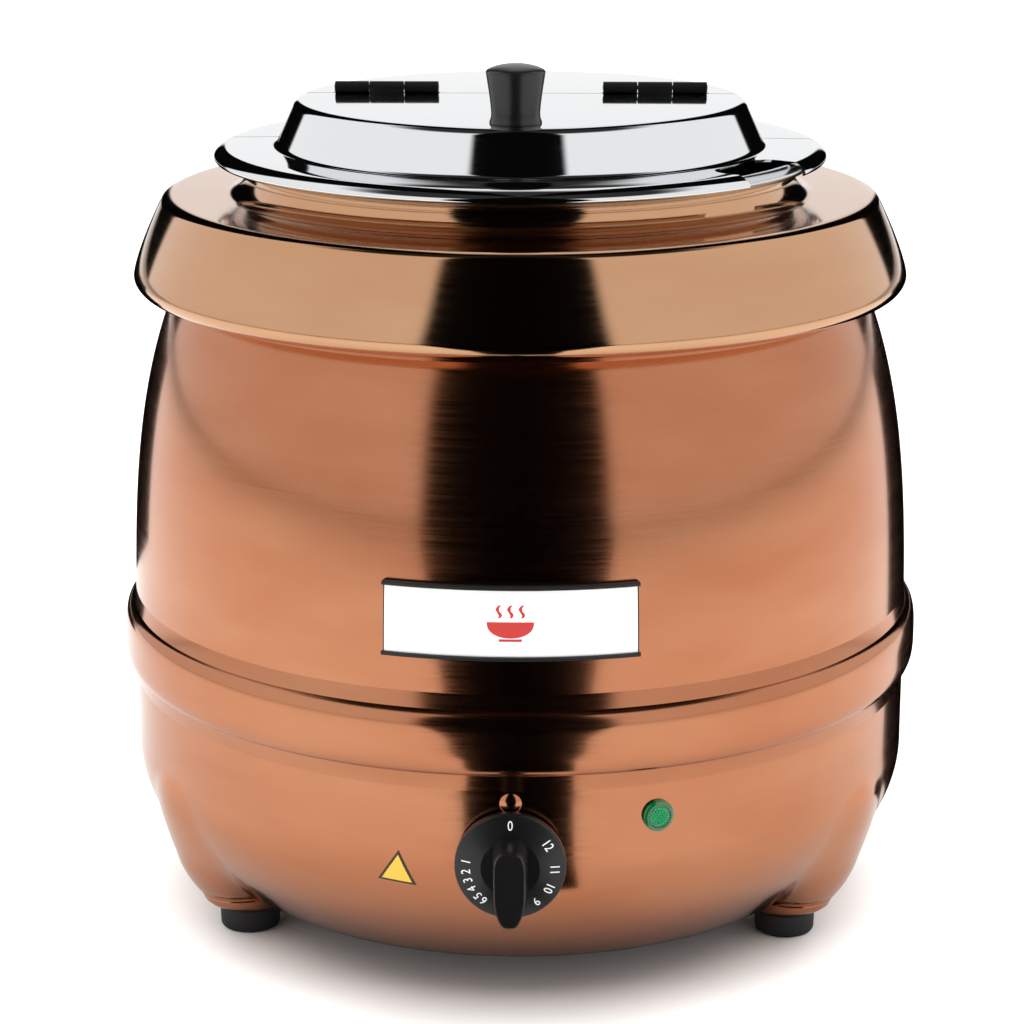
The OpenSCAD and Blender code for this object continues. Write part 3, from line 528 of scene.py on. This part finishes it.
def bulge_level(z):
    """Middle radius, half depth and half width of the bulge at a height."""
    heights = BULGE_LEVELS[:, 0]
    i = int(np.clip(np.searchsorted(heights, z) - 1, 0, len(heights) - 2))
    span = heights[i + 1] - heights[i]
    t = min(1.0, max(0.0, (z - heights[i]) / span))
    slopes = np.gradient(BULGE_LEVELS, heights, axis=0)
    a, b, into, away = BULGE_LEVELS[i], BULGE_LEVELS[i + 1], slopes[i] * span, slopes[i + 1] * span
    smooth = (2 * t**3 - 3 * t**2 + 1) * a + (t**3 - 2 * t**2 + t) * into
    smooth = smooth + (3 * t**2 - 2 * t**3) * b + (t**3 - t**2) * away
    return [float(v) for v in smooth[1:]]


def bulge_reach(z, off_axis):
    """Outermost radius of the bulge at a height, at an angle from its middle, or 0 where it has none."""
    middle, depth, width = bulge_level(z)
    s, c = math.sin(off_axis), math.cos(off_axis)
    a = (c / depth) ** 2 + (s / width) ** 2
    b = -2 * middle * c / depth**2
    d = b * b - 4 * a * ((middle / depth) ** 2 - 1)
    return (-b + math.sqrt(d)) / (2 * a) if d > 0 else 0.0


def soft_max(a, b, blend):
    """The larger of two lengths, with the step between them rounded over a blend length."""
    h = max(blend - abs(a - b), 0) / blend if blend > 0 else 0
    return max(a, b) + h * h * h * blend / 6


def shell_radius(r, z, azimuth):
    """Radius of the barrel's skin, pushed out where a foot bulge reaches past it."""
    if z > BULGE_TOP or z < BOTTOM_Z - 0.01:
        return r
    off = min(abs((azimuth - foot + 180) % 360 - 180) for foot in FOOT_AZIMUTHS.values())
    if off > BULGE_HALF_ANGLE:
        return r
    blend = 0.4 + 12 * min(1, max(0, (z - BOTTOM_Z) / 24)) * min(1, (BULGE_TOP - z) / 12)
    return soft_max(r, bulge_reach(z, math.radians(off)), blend)


def body_skin():
    """The barrel with its bead and foot bulges: outside follows the bulges, inside is plain."""
    outer = shell_outline()
    steps = 576
    inner = [p - [SHELL_T, 0] for p in outer[::8]][::-1]
    inner = [p for p in inner if p[1] > BOTTOM_Z + SHELL_T] + [np.array([BOTTOM_R - 3, BOTTOM_Z + SHELL_T])]
    flange = [
        np.array([BOTTOM_R - 12, BOTTOM_Z + SHELL_T]),
        np.array([BOTTOM_R - 12, BOTTOM_Z]),
        np.array([BOTTOM_R - 1.2, BOTTOM_Z]),
        np.array([BOTTOM_R - 0.3, BOTTOM_Z + 0.05]),
    ]
    loop = outer + inner + flange
    verts = []
    for k in range(steps):
        azimuth = 360 * k / steps
        a = math.radians(azimuth)
        for i, (r, z) in enumerate(loop):
            if i < len(outer):
                r = shell_radius(r, z, azimuth)
            verts.append((r * math.sin(a), -r * math.cos(a), z))
    n = len(loop)
    faces = []
    for k in range(steps):
        here, there = k * n, ((k + 1) % steps) * n
        faces += [[here + i, there + i, there + (i + 1) % n, here + (i + 1) % n] for i in range(n)]
    return make_mesh("body_skin", verts, faces)


def bulge_toe(azimuth):
    """The part of a bulge that hangs below the body's edge, down to the foot."""
    steps = 96
    heights = list(np.linspace(FOOT_TOP, BOTTOM_Z + 2, 22))
    verts = []
    for z in heights:
        middle, depth, width = bulge_level(z)
        inset = 0.0 if z <= BOTTOM_Z else 0.5
        for k in range(steps):
            a = 2 * math.pi * k / steps
            verts.append(((width - inset) * math.sin(a), -middle - (depth - inset) * math.cos(a), z))
    return moved(stack_mesh("toe", verts, steps), azimuth_turn(azimuth))


def pointer_pip():
    """Raised pip over the dial, pressed out of the wall."""
    r, proud, pip_z = 4.4, 1.5, DIAL_Z + 24
    outline = [(0, proud)]
    for a in np.linspace(0.1, 1.55, 16):
        outline.append((r * math.sin(a), proud * math.cos(a) ** 1.3))
    outline += [(r + 0.1, -1), (0, -1)]
    return moved(lathe(outline, 64), facing_front(wall_radius(pip_z), pip_z))


def build_body():
    parts = [body_skin(), pointer_pip()] + [bulge_toe(a) for a in FOOT_AZIMUTHS.values()]
    shells = ["lower_shell", "upper_shell"]
    piece("body_shell", parts, COPPER_BODY, "kettle", shells, sharp=50)


# ---------------------------------------------------------------- collar, well, pot

POT_T = 0.8
CORNER_R = 14


def build_collar():
    """The wide rolled collar and the neck that rises round the well."""
    neck_r = WELL_R + 1.1
    shoulder_z = LIP_Z + 39.4
    foot_z = shoulder_z - 0.1
    lip_w, lip_h = 7, 6
    path = [np.array([WALL_TOP_R + 1.5, LIP_Z]), np.array([COLLAR_R - lip_w, LIP_Z])]
    for a in np.radians(np.linspace(0, 90, 19)[1:]):
        path.append(np.array([COLLAR_R - lip_w * (1 - math.sin(a)), LIP_Z + lip_h * (1 - math.cos(a))]))
    side = np.array([COLLAR_R, LIP_Z + lip_h])
    turn = np.array([151.5, shoulder_z - 2.3])
    path += bezier(side, side + [-1.2, 8], turn + [3.4, -6.4], turn, 28)
    cove = 8.8
    path += bezier(turn, turn + [-1.0, 1.5], (147.5, foot_z), (145.5, foot_z), 10)
    path += [np.array([neck_r + 16, foot_z]), np.array([neck_r + cove, foot_z])]
    path += arc((neck_r + cove, foot_z + cove), cove, 270, 180, 20)[1:]
    path += [np.array([neck_r, NECK_TOP - 0.4]), np.array([neck_r - 0.3, NECK_TOP])]
    ring = lathe(thick(path, SHELL_T), 288)
    piece("collar_ring", ring, COPPER_COLLAR, "kettle", ["top_collar"], sharp=50)


def cup(radius, bottom, top, corner):
    """Outline of a flat-bottomed cup with a rounded corner, from its axis to its top."""
    turn = arc((radius - corner, bottom + corner), corner, -90, 0, 12)
    return [np.array([0.0, bottom])] + turn + [np.array([radius, top])]


def build_well():
    """A tank with a narrow rim, turned out over the collar's neck."""
    bottom = lowest("water_well")[2]
    rim = [(0.3, -1.2), (2.2, -0.7), (2.6, -0.3), (2.2, 0), (-0.2, 0), (-0.8, -0.7)]
    outline = cup(WELL_R, bottom, WELL_TOP - 2.2, CORNER_R)
    outline += [np.array([WELL_R + out, WELL_TOP + up]) for out, up in rim]
    inside = cup(WELL_R, bottom, WELL_TOP - 3, CORNER_R)[::-1]
    outline += [p - [POT_T, -POT_T] if p[0] > 1 else p + [0, POT_T] for p in inside]
    tank = lathe(outline, 192)
    piece("well_tank", tank, STAINLESS_POT, "kettle", ["water_well"], sharp=60)


def build_pot():
    """The lift-out pot with its rolled rim."""
    roll_r = 3.1
    centre = (RIM_R - roll_r, RIM_TOP - roll_r)
    flange_z = RIM_TOP - 2 * roll_r
    path = cup(POT_R, POT_BOTTOM, flange_z - 1.2, CORNER_R)
    path += bezier(path[-1], path[-1] + [0, 0.9], (POT_R + 0.4, flange_z), (POT_R + 1.6, flange_z), 5)
    path += arc(centre, roll_r, -90, 170, 30)
    cup_mesh = lathe(thick(path, POT_T), 224)
    piece("pot", cup_mesh, STAINLESS_POT, "pot", ["inner_pot"], sharp=50)


# ---------------------------------------------------------------- lid

DOME_FOOT_R = 103.0
DOME_TOP_R = 94.3
BRIM_FLAT_R = 117.0
HINGE_X = 57.0
KNUCKLE_W = 14.8


def lid_outline():
    """The lid's outer face, from the brim's rolled edge to the middle of its top."""
    brim_z = LID_UNDER + LID_T
    roll = 1.5
    edge = np.array([LID_R - roll, brim_z - 4.0])
    path = arc(edge, roll, -80, 25, 8)
    path += bezier(path[-1], path[-1] + [-0.4, 0.9], (LID_R - 3.1, brim_z - 0.6), (LID_R - 5.4, brim_z), 14)
    path.append(np.array([BRIM_FLAT_R, brim_z]))
    dome = [(BRIM_FLAT_R, brim_z), (DOME_FOOT_R, brim_z + 0.2, 3.0), (DOME_TOP_R, LID_TOP, 4.5), (0, LID_TOP)]
    return path + rounded(dome, 8)[1:]


def knuckle_slots(side):
    """Where the knuckles of one half of the lid go: the middle one in front, the two outer ones behind."""
    offsets = [0] if side < 0 else [-KNUCKLE_W, KNUCKLE_W]
    return [x + dx for x in (-HINGE_X, HINGE_X) for dx in offsets]


def lid_half(side):
    """One half of the lid, slotted for its hinge knuckles."""
    gap, slot_l, slot_h = 0.4, 2.8, 4
    mesh = keep_side(lathe(thick(lid_outline(), LID_T), 256), SPLIT_Y + side * gap, side)
    near, far = sorted((SPLIT_Y, SPLIT_Y + side * slot_l))
    half = KNUCKLE_W / 2 + gap
    for x in knuckle_slots(side):
        mesh = cut(mesh, box_mesh((x - half, near, LID_TOP - slot_h), (x + half, far, LID_TOP + slot_h)))
    return mesh


def notch_outline():
    """Opening for a ladle's handle: square sides and rounded inner corners, cut in from the brim's edge."""
    half, depth, corner = 21.0, 22.0, 8.0
    inner = -(LID_R - depth)
    outline = [(-half, -LID_R - 8)]
    outline += [tuple(p) for p in arc((-half + corner, inner - corner), corner, 180, 90, 8)]
    outline += [tuple(p) for p in arc((half - corner, inner - corner), corner, 90, 0, 8)]
    return outline + [(half, -LID_R - 8)]


def build_lid():
    rear = lid_half(1)
    front = lid_half(-1)
    cutter = moved(prism(notch_outline(), LID_UNDER - 12, LID_UNDER + 16), azimuth_turn(55))
    front = cut(front, cutter)
    piece("lid_rear", rear, STAINLESS, "lid", ["lid_rear_half"], sharp=30)
    piece("lid_front", front, STAINLESS, "lid_flap", ["lid_front_half"], sharp=30)


def barrel(x, length, radius):
    """One hinge knuckle, with its ends eased."""
    e = 0.25
    outline = [(1.05, -length / 2), (radius - e, -length / 2), (radius, -length / 2 + e)]
    outline += [(radius, length / 2 - e), (radius - e, length / 2), (1.05, length / 2)]
    m = Matrix.Translation((x, SPLIT_Y, HINGE_Z)) @ Matrix.Rotation(math.radians(90), 4, "Y")
    return moved(lathe(outline, 40), m)


def build_hinges():
    radius, leaf_t, leaf_l = 2.4, 0.8, 15
    leaf_z = LID_TOP - LID_T - leaf_t
    for label, x in (("left", -HINGE_X), ("right", HINGE_X)):
        for side, body in ((-1, "lid_flap"), (1, "lid")):
            parts = []
            for slot_x in knuckle_slots(side):
                if abs(slot_x - x) > 2 * KNUCKLE_W:
                    continue
                w = KNUCKLE_W - 0.3
                parts.append(barrel(slot_x, w, radius))
                near, far = sorted((SPLIT_Y + side * radius, SPLIT_Y + side * (radius - leaf_t)))
                parts.append(box_mesh((slot_x - w / 2, near, leaf_z), (slot_x + w / 2, far, HINGE_Z), 0.1))
            half = KNUCKLE_W * (1 if side < 0 else 3) / 2 - 0.2
            near, far = sorted((SPLIT_Y + side * (radius - leaf_t), SPLIT_Y + side * (radius + leaf_l)))
            parts.append(box_mesh((x - half, near, leaf_z), (x + half, far, leaf_z + leaf_t), 0.15))
            name = "front" if side < 0 else "rear"
            leaf = [f"{name}_leaf_{label}"]
            piece(f"hinge_{name}_{label}", parts, BLACK_ENAMEL, body, leaf, sharp=40)


def build_knob():
    """The waisted knob on the front half of the lid."""
    base = lowest("lid_knob")[2]
    top = highest("lid_knob")[2]
    r = (highest("lid_knob")[0] - lowest("lid_knob")[0]) / 2
    waist = 9.7
    path = [(2.5, base), (waist + 0.6, base), (waist + 0.75, base + 0.3), (waist + 0.55, base + 1.0)]
    foot = (waist + 0.55, base + 1.0), (waist, base + 2.2), (waist - 0.1, base + 3.5), (waist, base + 5)
    flare = (waist, base + 5), (waist + 0.5, base + 11), (r - 0.6, top - 7), (r - 0.25, top - 4.2)
    crown = (r - 0.25, top - 4.2), (r, top - 3.4), (r, top - 2.9), (r - 0.7, top - 2.3)
    for curve, steps in ((foot, 6), (flare, 8), (crown, 6)):
        path += [tuple(p) for p in bezier(*curve, steps)]
    path += [tuple(p) for p in bezier((r - 0.7, top - 2.3), (r - 4, top - 0.5), (3.5, top), (0, top), 10)]
    path += [(0, top - 2), (2.5, top - 12)]
    mesh = moved(lathe(path, 96), Matrix.Translation((0, KNOB_Y, 0)))
    piece("knob", mesh, BAKELITE, "lid_flap", ["lid_knob"], sharp=45)


# ---------------------------------------------------------------- dial


def scale_numbers():
    """The dial's numbers as (text, clockwise degrees from the top)."""
    return [
        ("0", 0), ("12", 57), ("11", 92), ("10", 119), ("9", 144), ("8", 168), ("7", 192),
        ("6", 217), ("5", 227), ("4", 239), ("3", 252), ("2", 264), ("1", 278),
    ]


def number_mesh(text, size):
    """A number cut from thin film, in mm, centred on the origin in XY."""
    curve = bpy.data.curves.new("number", "FONT")
    curve.body = text
    curve.size = size
    curve.extrude = 0.08
    curve.align_x = "CENTER"
    curve.align_y = "CENTER"
    curve.resolution_u = 4
    obj = bpy.data.objects.new("number", curve)
    bpy.context.scene.collection.objects.link(obj)
    graph = bpy.context.evaluated_depsgraph_get()
    mesh = bpy.data.meshes.new_from_object(obj.evaluated_get(graph))
    bpy.data.objects.remove(obj)
    bpy.data.curves.remove(curve)
    mesh.transform(Matrix.Diagonal((0.82 * MM, MM, MM, 1)))
    return mesh


def grip_mesh(skirt_top):
    """Grip bar: nearly as long as the dial is wide, scooped at both sides, with a rounded nose."""
    depth = DIAL_FRONT - DIAL_BACK
    top_len, low_len, half_w, nose = 12.5, DIAL_R - 1.2, 8.6, 3.6
    levels = np.linspace(skirt_top - 1.5, depth, 16)
    steps = 72
    verts = []
    for level in levels:
        rise = (level - levels[0]) / (levels[-1] - levels[0])
        edge = math.sqrt(max(0.0, 1 - max(0, (rise - 0.86) / 0.14) ** 2)) if rise < 0.999 else 0.25
        shrink = 1 - 0.05 * rise - 0.06 * (1 - edge)
        for k in range(steps):
            a = 2 * math.pi * k / steps
            s, c = math.sin(a), math.cos(a)
            y = (top_len if c > 0 else low_len) * c * shrink
            waist = 1 - 0.35 * math.exp(-((y / (0.5 * low_len)) ** 2))
            taper = 1 - 0.3 * (c < 0) * abs(c) ** 1.5
            width = (nose + (half_w - nose) * waist) * taper * (1 - 0.1 * rise - 0.1 * (1 - edge))
            x = width * math.copysign(abs(s) ** 0.55, s)
            verts.append((x, y, level))
    return stack_mesh("grip", verts, steps)


def build_dial():
    rim, face_rise, face_r = 3.6, 2.4, 11.5
    outline = rounded([
        (3.0, 1.5), (8.6, 1.5), (8.6, 0.2, 0.2), (DIAL_R, 0.2, 0.5), (DIAL_R, rim, 0.9),
        (face_r, rim + face_rise, 1.0), (0, rim + face_rise)
    ], 4)
    outline.append(np.array([0.0, 1.5]))
    skirt = lathe(outline, 128)
    place = facing_front(DIAL_BACK, DIAL_Z)
    parts = [moved(skirt, place), moved(grip_mesh(rim + face_rise), place)]
    piece("dial", parts, BAKELITE, "dial", ["dial_knob"], sharp=40)
    numbers = []
    ring, slope = 17.2, math.atan2(face_rise, DIAL_R - face_r)
    height = rim + face_rise * (DIAL_R - ring) / (DIAL_R - face_r) + 0.03
    for text, clockwise in scale_numbers():
        spin = Matrix.Rotation(math.radians(-clockwise), 4, "Z")
        lean = Matrix.Translation((0, ring, height)) @ Matrix.Rotation(-slope, 4, "X")
        numbers.append(moved(number_mesh(text, 5.4), place @ spin @ lean))
    piece("dial_numbers", numbers, WHITE_PRINT, "dial")


# ---------------------------------------------------------------- lamp, mark, label


def build_lamp():
    """The green pilot lamp: a bezel and a field of small six-sided facets."""
    azimuth = math.degrees(math.atan2(LAMP[0], -LAMP[1]))
    r = 6.35
    place = azimuth_turn(azimuth) @ facing_front(BODY_R + 0.05, LAMP[2])
    bezel = rounded([(0, 0), (r, 0, 0.1), (r, 1.6, 0.7), (r - 1.5, 2.3, 0.4), (r - 1.9, 1.7), (0, 1.7)], 4)
    facets = []
    pitch = 1.15
    for i in range(-3, 4):
        for j in range(-3, 4):
            x, y = (i + 0.5 * (j % 2)) * pitch, j * pitch * 0.87
            if math.hypot(x, y) > r - 2.6:
                continue
            facet = lathe([(0, 1.5), (pitch * 0.6, 1.5), (pitch * 0.6, 1.9), (0, 2.75)], 6)
            facets.append(moved(facet, Matrix.Translation((x, y, 0))))
    ring = moved(lathe(bezel, 72), place)
    piece("lamp_bezel", ring, GREEN, "kettle", ["pilot_lamp_lens"], sharp=40)
    piece("lamp_facets", [moved(f, place) for f in facets], GREEN_CORE, "kettle", sharp=10)


def wall_patch(outline, gap, t):
    """A thin sheet that follows the wall. Its outline is (arc length at the wall, height)."""
    bm = bmesh.new()
    flat = [bm.verts.new((s * MM, 0, z * MM)) for s, z in outline]
    face = bm.faces.new(flat)
    bmesh.ops.triangulate(bm, faces=[face])
    longest = 3 * MM
    for _ in range(5):
        edges = [e for e in bm.edges if e.calc_length() > longest]
        if not edges:
            break
        bmesh.ops.subdivide_edges(bm, edges=edges, cuts=1)
        bmesh.ops.triangulate(bm, faces=bm.faces)
    extruded = bmesh.ops.extrude_face_region(bm, geom=bm.faces[:])
    raised = {v for v in extruded["geom"] if isinstance(v, bmesh.types.BMVert)}
    for v in bm.verts:
        s, z = v.co.x / MM, v.co.z / MM
        r = patch_radius(z) + gap + (t if v in raised else 0)
        a = s / BODY_R
        v.co = Vector((r * math.sin(a), -r * math.cos(a), z)) * MM
    mesh = bpy.data.meshes.new("patch")
    bm.to_mesh(mesh)
    bm.free()
    return mesh


def patch_radius(z):
    """Outside radius of the body at a height, on the bowl and on the wall."""
    if z >= BOWL_TOP:
        return wall_radius(z)
    bowl = bowl_outline()
    return float(np.interp(z, [p[1] for p in bowl], [p[0] for p in bowl]))


def build_mark():
    """Plain yellow triangle with a dark edge, and nothing printed in it."""
    height, half, edge, lean = 13.9, 8.0, 0.9, math.radians(4.5)
    low = lowest("hot_surface_mark")[2] + half * math.sin(lean)
    turn, askew = azimuth_turn(-15.4), Matrix.Rotation(-lean, 2)

    def tilted(corners):
        middle = Vector((0, low + height / 2))
        return [tuple(askew @ Vector((x, z - height / 2)) + middle) for x, z in corners]

    outside = tilted([(-half, 0), (half, 0), (0, height)])
    inside = tilted([(-half + edge * 1.9, edge), (half - edge * 1.9, edge), (0, height - edge * 2.1)])
    edge = moved(wall_patch(outside, 0.05, 0.15), turn)
    piece("mark_edge", edge, DARK_PRINT, "kettle", ["hot_surface_mark"])
    piece("mark_field", moved(wall_patch(inside, 0.1, 0.2), turn), YELLOW_PRINT, "kettle")


def ring_sector(outline, half_angle, steps=60):
    """Part of a turned ring about the front, with closed ends."""
    n = len(outline)
    verts, faces = [], []
    for a in np.radians(np.linspace(-half_angle, half_angle, steps + 1)):
        verts += [(r * math.sin(a), -r * math.cos(a), z) for r, z in outline]
    for k in range(steps):
        for i in range(n):
            after = (i + 1) % n
            faces.append([k * n + i, (k + 1) * n + i, (k + 1) * n + after, k * n + after])
    faces += [list(range(n)), [steps * n + i for i in range(n)][::-1]]
    return make_mesh("sector", verts, faces)


def build_label():
    """The black rail on the wall and the white card that slides in it."""
    low, high, rail, half_angle = LABEL_LOW, LABEL_HIGH, 1.6, 17.0
    back, card_at, card_t, hook_at, hook = 0.2, 1.5, 0.8, 2.6, 1.0

    def on_wall(z, out):
        return (wall_radius(z) + out, z)

    heights = np.linspace(low, high, 9)
    plate = [on_wall(z, back + 1) for z in heights] + [on_wall(z, back) for z in heights[::-1]]
    parts = [ring_sector(plate, half_angle)]
    for edge, inward in ((low, 1), (high, -1)):
        corners = [
            (0, back), (0, hook_at + hook * 0.7), (0.3, hook_at + hook), (rail * 0.8, hook_at + hook),
            (rail, hook_at + hook * 0.6), (rail, hook_at), (rail / 2, hook_at), (rail / 2, back)
        ]
        outline = [on_wall(edge + inward * along, out) for along, out in corners]
        parts.append(ring_sector(outline, half_angle))
    piece("label_rail", parts, BLACK_NYLON, "kettle", ["label_holder"], sharp=40)
    inset = rail / 2 + 0.3
    heights = np.linspace(low + inset, high - inset, 9)
    sheet = [on_wall(z, card_at + card_t) for z in heights] + [on_wall(z, card_at) for z in heights[::-1]]
    card = ring_sector(sheet, half_angle - 0.3)
    piece("label_card_sheet", card, CARD, "label", ["label_card"], sharp=40)
    build_pictogram((low + high) / 2, card_at + card_t)


def build_pictogram(middle, out):
    """A plain bowl with three wisps of steam, printed in red."""
    shapes = []
    bowl_r, bowl_top, bowl_h = 9, 0.6, 6.4
    bowl = [(-bowl_r, bowl_top), (bowl_r, bowl_top)]
    for a in np.linspace(0.12, math.pi - 0.12, 20):
        bowl.append((bowl_r * math.cos(a), bowl_top - bowl_h * math.sin(a) ** 0.8))
    shapes.append(bowl)
    shapes.append([(-4.4, -6.1), (4.4, -6.1), (4.4, -7.1), (-4.4, -7.1)])
    for x in (-4.4, 0, 4.4):
        left = [(x - 0.55 + 0.7 * math.sin(2.2 * math.pi * t), 2.2 + 5 * t) for t in np.linspace(0, 1, 12)]
        shapes.append(left + [(px + 1.1, pz) for px, pz in left[::-1]])
    meshes = [wall_patch([(x, z + middle) for x, z in s], out, 0.06) for s in shapes]
    piece("label_pictogram", meshes, RED_PRINT, "label", sharp=40)


# ---------------------------------------------------------------- feet and gland


def build_feet():
    """Rubber feet, hollow underneath, with a hole for the screw."""
    outline = rounded([
        (5.2, 5), (5.2, 0, 0.3), (FOOT_R - 0.3, 0, 1.8),
        (FOOT_R, FOOT_TOP - 0.02, 0.4), (2.5, FOOT_TOP - 0.02), (2.5, 5)
    ], 5)
    for name, azimuth in FOOT_AZIMUTHS.items():
        mesh = moved(lathe(outline, 96), azimuth_turn(azimuth) @ Matrix.Translation((0, -FOOT_RING, 0)))
        piece(f"foot_{name}", mesh, RUBBER, "kettle", [f"rubber_foot_{name}"], sharp=40)


def build_gland():
    """Cable gland: threaded body, hex and a ribbed, domed cap."""
    start = BODY_R + 0.3
    reach = GLAND_END - start
    place = azimuth_turn(180) @ facing_front(start, GLAND_Z)
    hexagon = [(12.12 * math.cos(a), 12.12 * math.sin(a)) for a in np.radians(np.arange(0, 360, 60))]
    nut = cut(prism(hexagon, 0.1, 5.7), lathe([(0, -1), (7.9, -1), (7.9, 7), (0, 7)], 48))
    outline = [
        (3.6, -14), (7.9, -14), (7.9, 5.8), (10, 5.8, 0.4),
        (9.2, reach * 0.72, 1.5), (6.5, reach, 0.8), (3.6, reach)
    ]
    body = lathe(rounded(outline, 4), 64)
    ribs, count = [], 18
    for k in range(count):
        rib = box_mesh((-0.5, 8.9, 6.6), (0.5, 10, reach * 0.66), 0.2)
        ribs.append(moved(rib, Matrix.Rotation(math.radians(360 / count * k), 4, "Z")))
    parts = [moved(m, place) for m in [nut, body] + ribs]
    piece("gland", parts, BLACK_NYLON, "kettle", ["cord_gland"], sharp=35)


# ---------------------------------------------------------------- floor, light, camera


def stage_material(name, tone, roughness):
    """A matt studio surface with a faint paper grain."""
    material, tree, shader, place = start_material(name, Roughness=roughness)
    grain = add(tree, "TexNoise", {"Vector": place, "Scale": 3.0, "Detail": 2.0}).outputs[0]
    mixed = add(tree, "Mix", {"Factor": grain, "A": colour(tone), "B": colour("#ffffff")}, data_type="RGBA")
    tree.links.new(mixed.outputs["Result"], shader.inputs["Base Color"])
    return material


def stage_object(name, mesh, material):
    mesh.materials.append(material)
    obj = bpy.data.objects.new(name, mesh)
    bpy.context.scene.collection.objects.link(obj)
    return obj


def card_material(name, tone, specular):
    """A plain matt card."""
    material = bpy.data.materials.new(name)
    material.use_nodes = True
    shader = material.node_tree.nodes["Principled BSDF"]
    shader.inputs["Base Color"].default_value = colour(tone)
    shader.inputs["Roughness"].default_value = 1.0
    shader.inputs["Specular IOR Level"].default_value = specular
    return material


def reflection_card(name, corners, material, height):
    """A studio card that lies on the floor and shows only in reflections."""
    mesh = make_mesh(name, [(x, y, height) for x, y in corners], [list(range(len(corners)))])
    card = stage_object(name, mesh, material)
    card.visible_camera = False
    card.visible_diffuse = False
    card.visible_shadow = False
    card.visible_transmission = False


def build_stage():
    far = 9000
    corners = [(-far, -far, 0), (far, -far, 0), (far, far, 0), (-far, far, 0)]
    floor = make_mesh("floor", corners, [[0, 1, 2, 3]])
    stage_object("floor", floor, stage_material("floor_paper", "#f4f4f2", 0.7))
    card = card_material("studio_black_felt", "#020202", 0.0)
    grey = card_material("studio_grey_card", "#c8c8c6", 0.5)
    near = far - 100
    inside = [(-near, -near), (near, -near), (near, near), (-near, near)]
    reflection_card("card_grey", inside, grey, 0.3)
    front = [(-34, -215), (46, -215), (92, -400), (4900, -8990), (-4740, -8990), (-80, -400)]
    reflection_card("card_front", front, card, 0.6)
    reflection_card("card_back_left", [(-190, 450), (-560, 2900), (-2600, 2900), (-560, 450)], card, 0.6)
    reflection_card("card_back_right", [(168, 60), (480, 2900), (2600, 2900), (260, 60)], card, 0.6)


def build_world():
    """White studio walls with a dark gap in front, dark gaps behind each side, and a dark ceiling."""
    world = bpy.data.worlds.new("studio")
    bpy.context.scene.world = world
    world.use_nodes = True
    tree = world.node_tree
    background = tree.nodes["Background"]
    way = add(tree, "TexCoord").outputs["Generated"]
    axes = add(tree, "SeparateXYZ", {"Vector": way}).outputs
    back = add(tree, "Math", {0: axes["Y"], 1: -1.0}, operation="MULTIPLY").outputs[0]
    turn = add(tree, "Math", {0: axes["X"], 1: back}, operation="ARCTAN2").outputs[0]
    azimuth = add(tree, "Math", {0: turn}, operation="ABSOLUTE").outputs[0]

    def fade(value, low, high, start, end):
        return add(
            tree,
            "MapRange",
            {"Value": value, "From Min": low, "From Max": high, "To Min": start, "To Max": end},
            interpolation_type="SMOOTHSTEP",
        ).outputs[0]

    gap, soft = math.radians(27), 0.04
    front = fade(azimuth, gap - soft, gap + soft, 0.0, 1.0)
    strip_in = fade(azimuth, math.radians(138), math.radians(141), 1.0, 0.0)
    strip_out = fade(azimuth, math.radians(167), math.radians(169), 0.0, 1.0)
    strips = add(tree, "Math", {0: strip_in, 1: strip_out}, operation="ADD").outputs[0]
    ceiling = fade(axes["Z"], 0.78, 0.9, 1.0, 0.03)
    walls = add(tree, "Math", {0: front, 1: strips}, operation="MULTIPLY").outputs[0]
    light = add(tree, "Math", {0: walls, 1: ceiling}, operation="MULTIPLY").outputs[0]
    level = add(tree, "Math", {0: light, 1: 1.0, 2: 0.002}, operation="MULTIPLY_ADD").outputs[0]
    tree.links.new(level, background.inputs["Strength"])
    background.inputs["Color"].default_value = colour("#ffffff")


def area_light(name, place, look_at, size, watts, in_reflections):
    """A rectangular light at a place, turned towards a point."""
    data = bpy.data.lights.new(name, "AREA")
    data.shape = "RECTANGLE"
    data.size, data.size_y = size
    data.energy = watts
    light = bpy.data.objects.new(name, data)
    light.location = place
    light.rotation_euler = (Vector(look_at) - Vector(place)).to_track_quat("-Z", "Y").to_euler()
    light.visible_glossy = in_reflections
    light.visible_camera = False
    bpy.context.scene.collection.objects.link(light)


def build_lights():
    area_light("overhead", (0, 0.8, 3.0), (0, 0.8, 0), (6.0, 6.0), 400, False)


def build_camera():
    """A long lens a little over a metre away, looking down at the kettle's front."""
    data = bpy.data.cameras.new("camera")
    data.sensor_width = 36
    data.lens = 99.3
    data.shift_x = -0.008
    camera = bpy.data.objects.new("camera", data)
    turn = math.radians(1.27)
    distance = 1.192
    camera.location = (distance * math.sin(turn), -distance * math.cos(turn), 0.503)
    camera.rotation_euler = (math.radians(90 - 15.78), 0, turn)
    bpy.context.scene.collection.objects.link(camera)
    bpy.context.scene.camera = camera


def main():
    build_camera()
    build_stage()
    build_world()
    build_lights()
    view = bpy.context.scene.view_settings
    view.view_transform = "Standard"
    view.look = "None"
    finish_frame_nodes()
    build_body()
    build_collar()
    build_well()
    build_pot()
    build_lid()
    build_hinges()
    build_knob()
    build_dial()
    build_lamp()
    build_mark()
    build_label()
    build_feet()
    build_gland()


main()
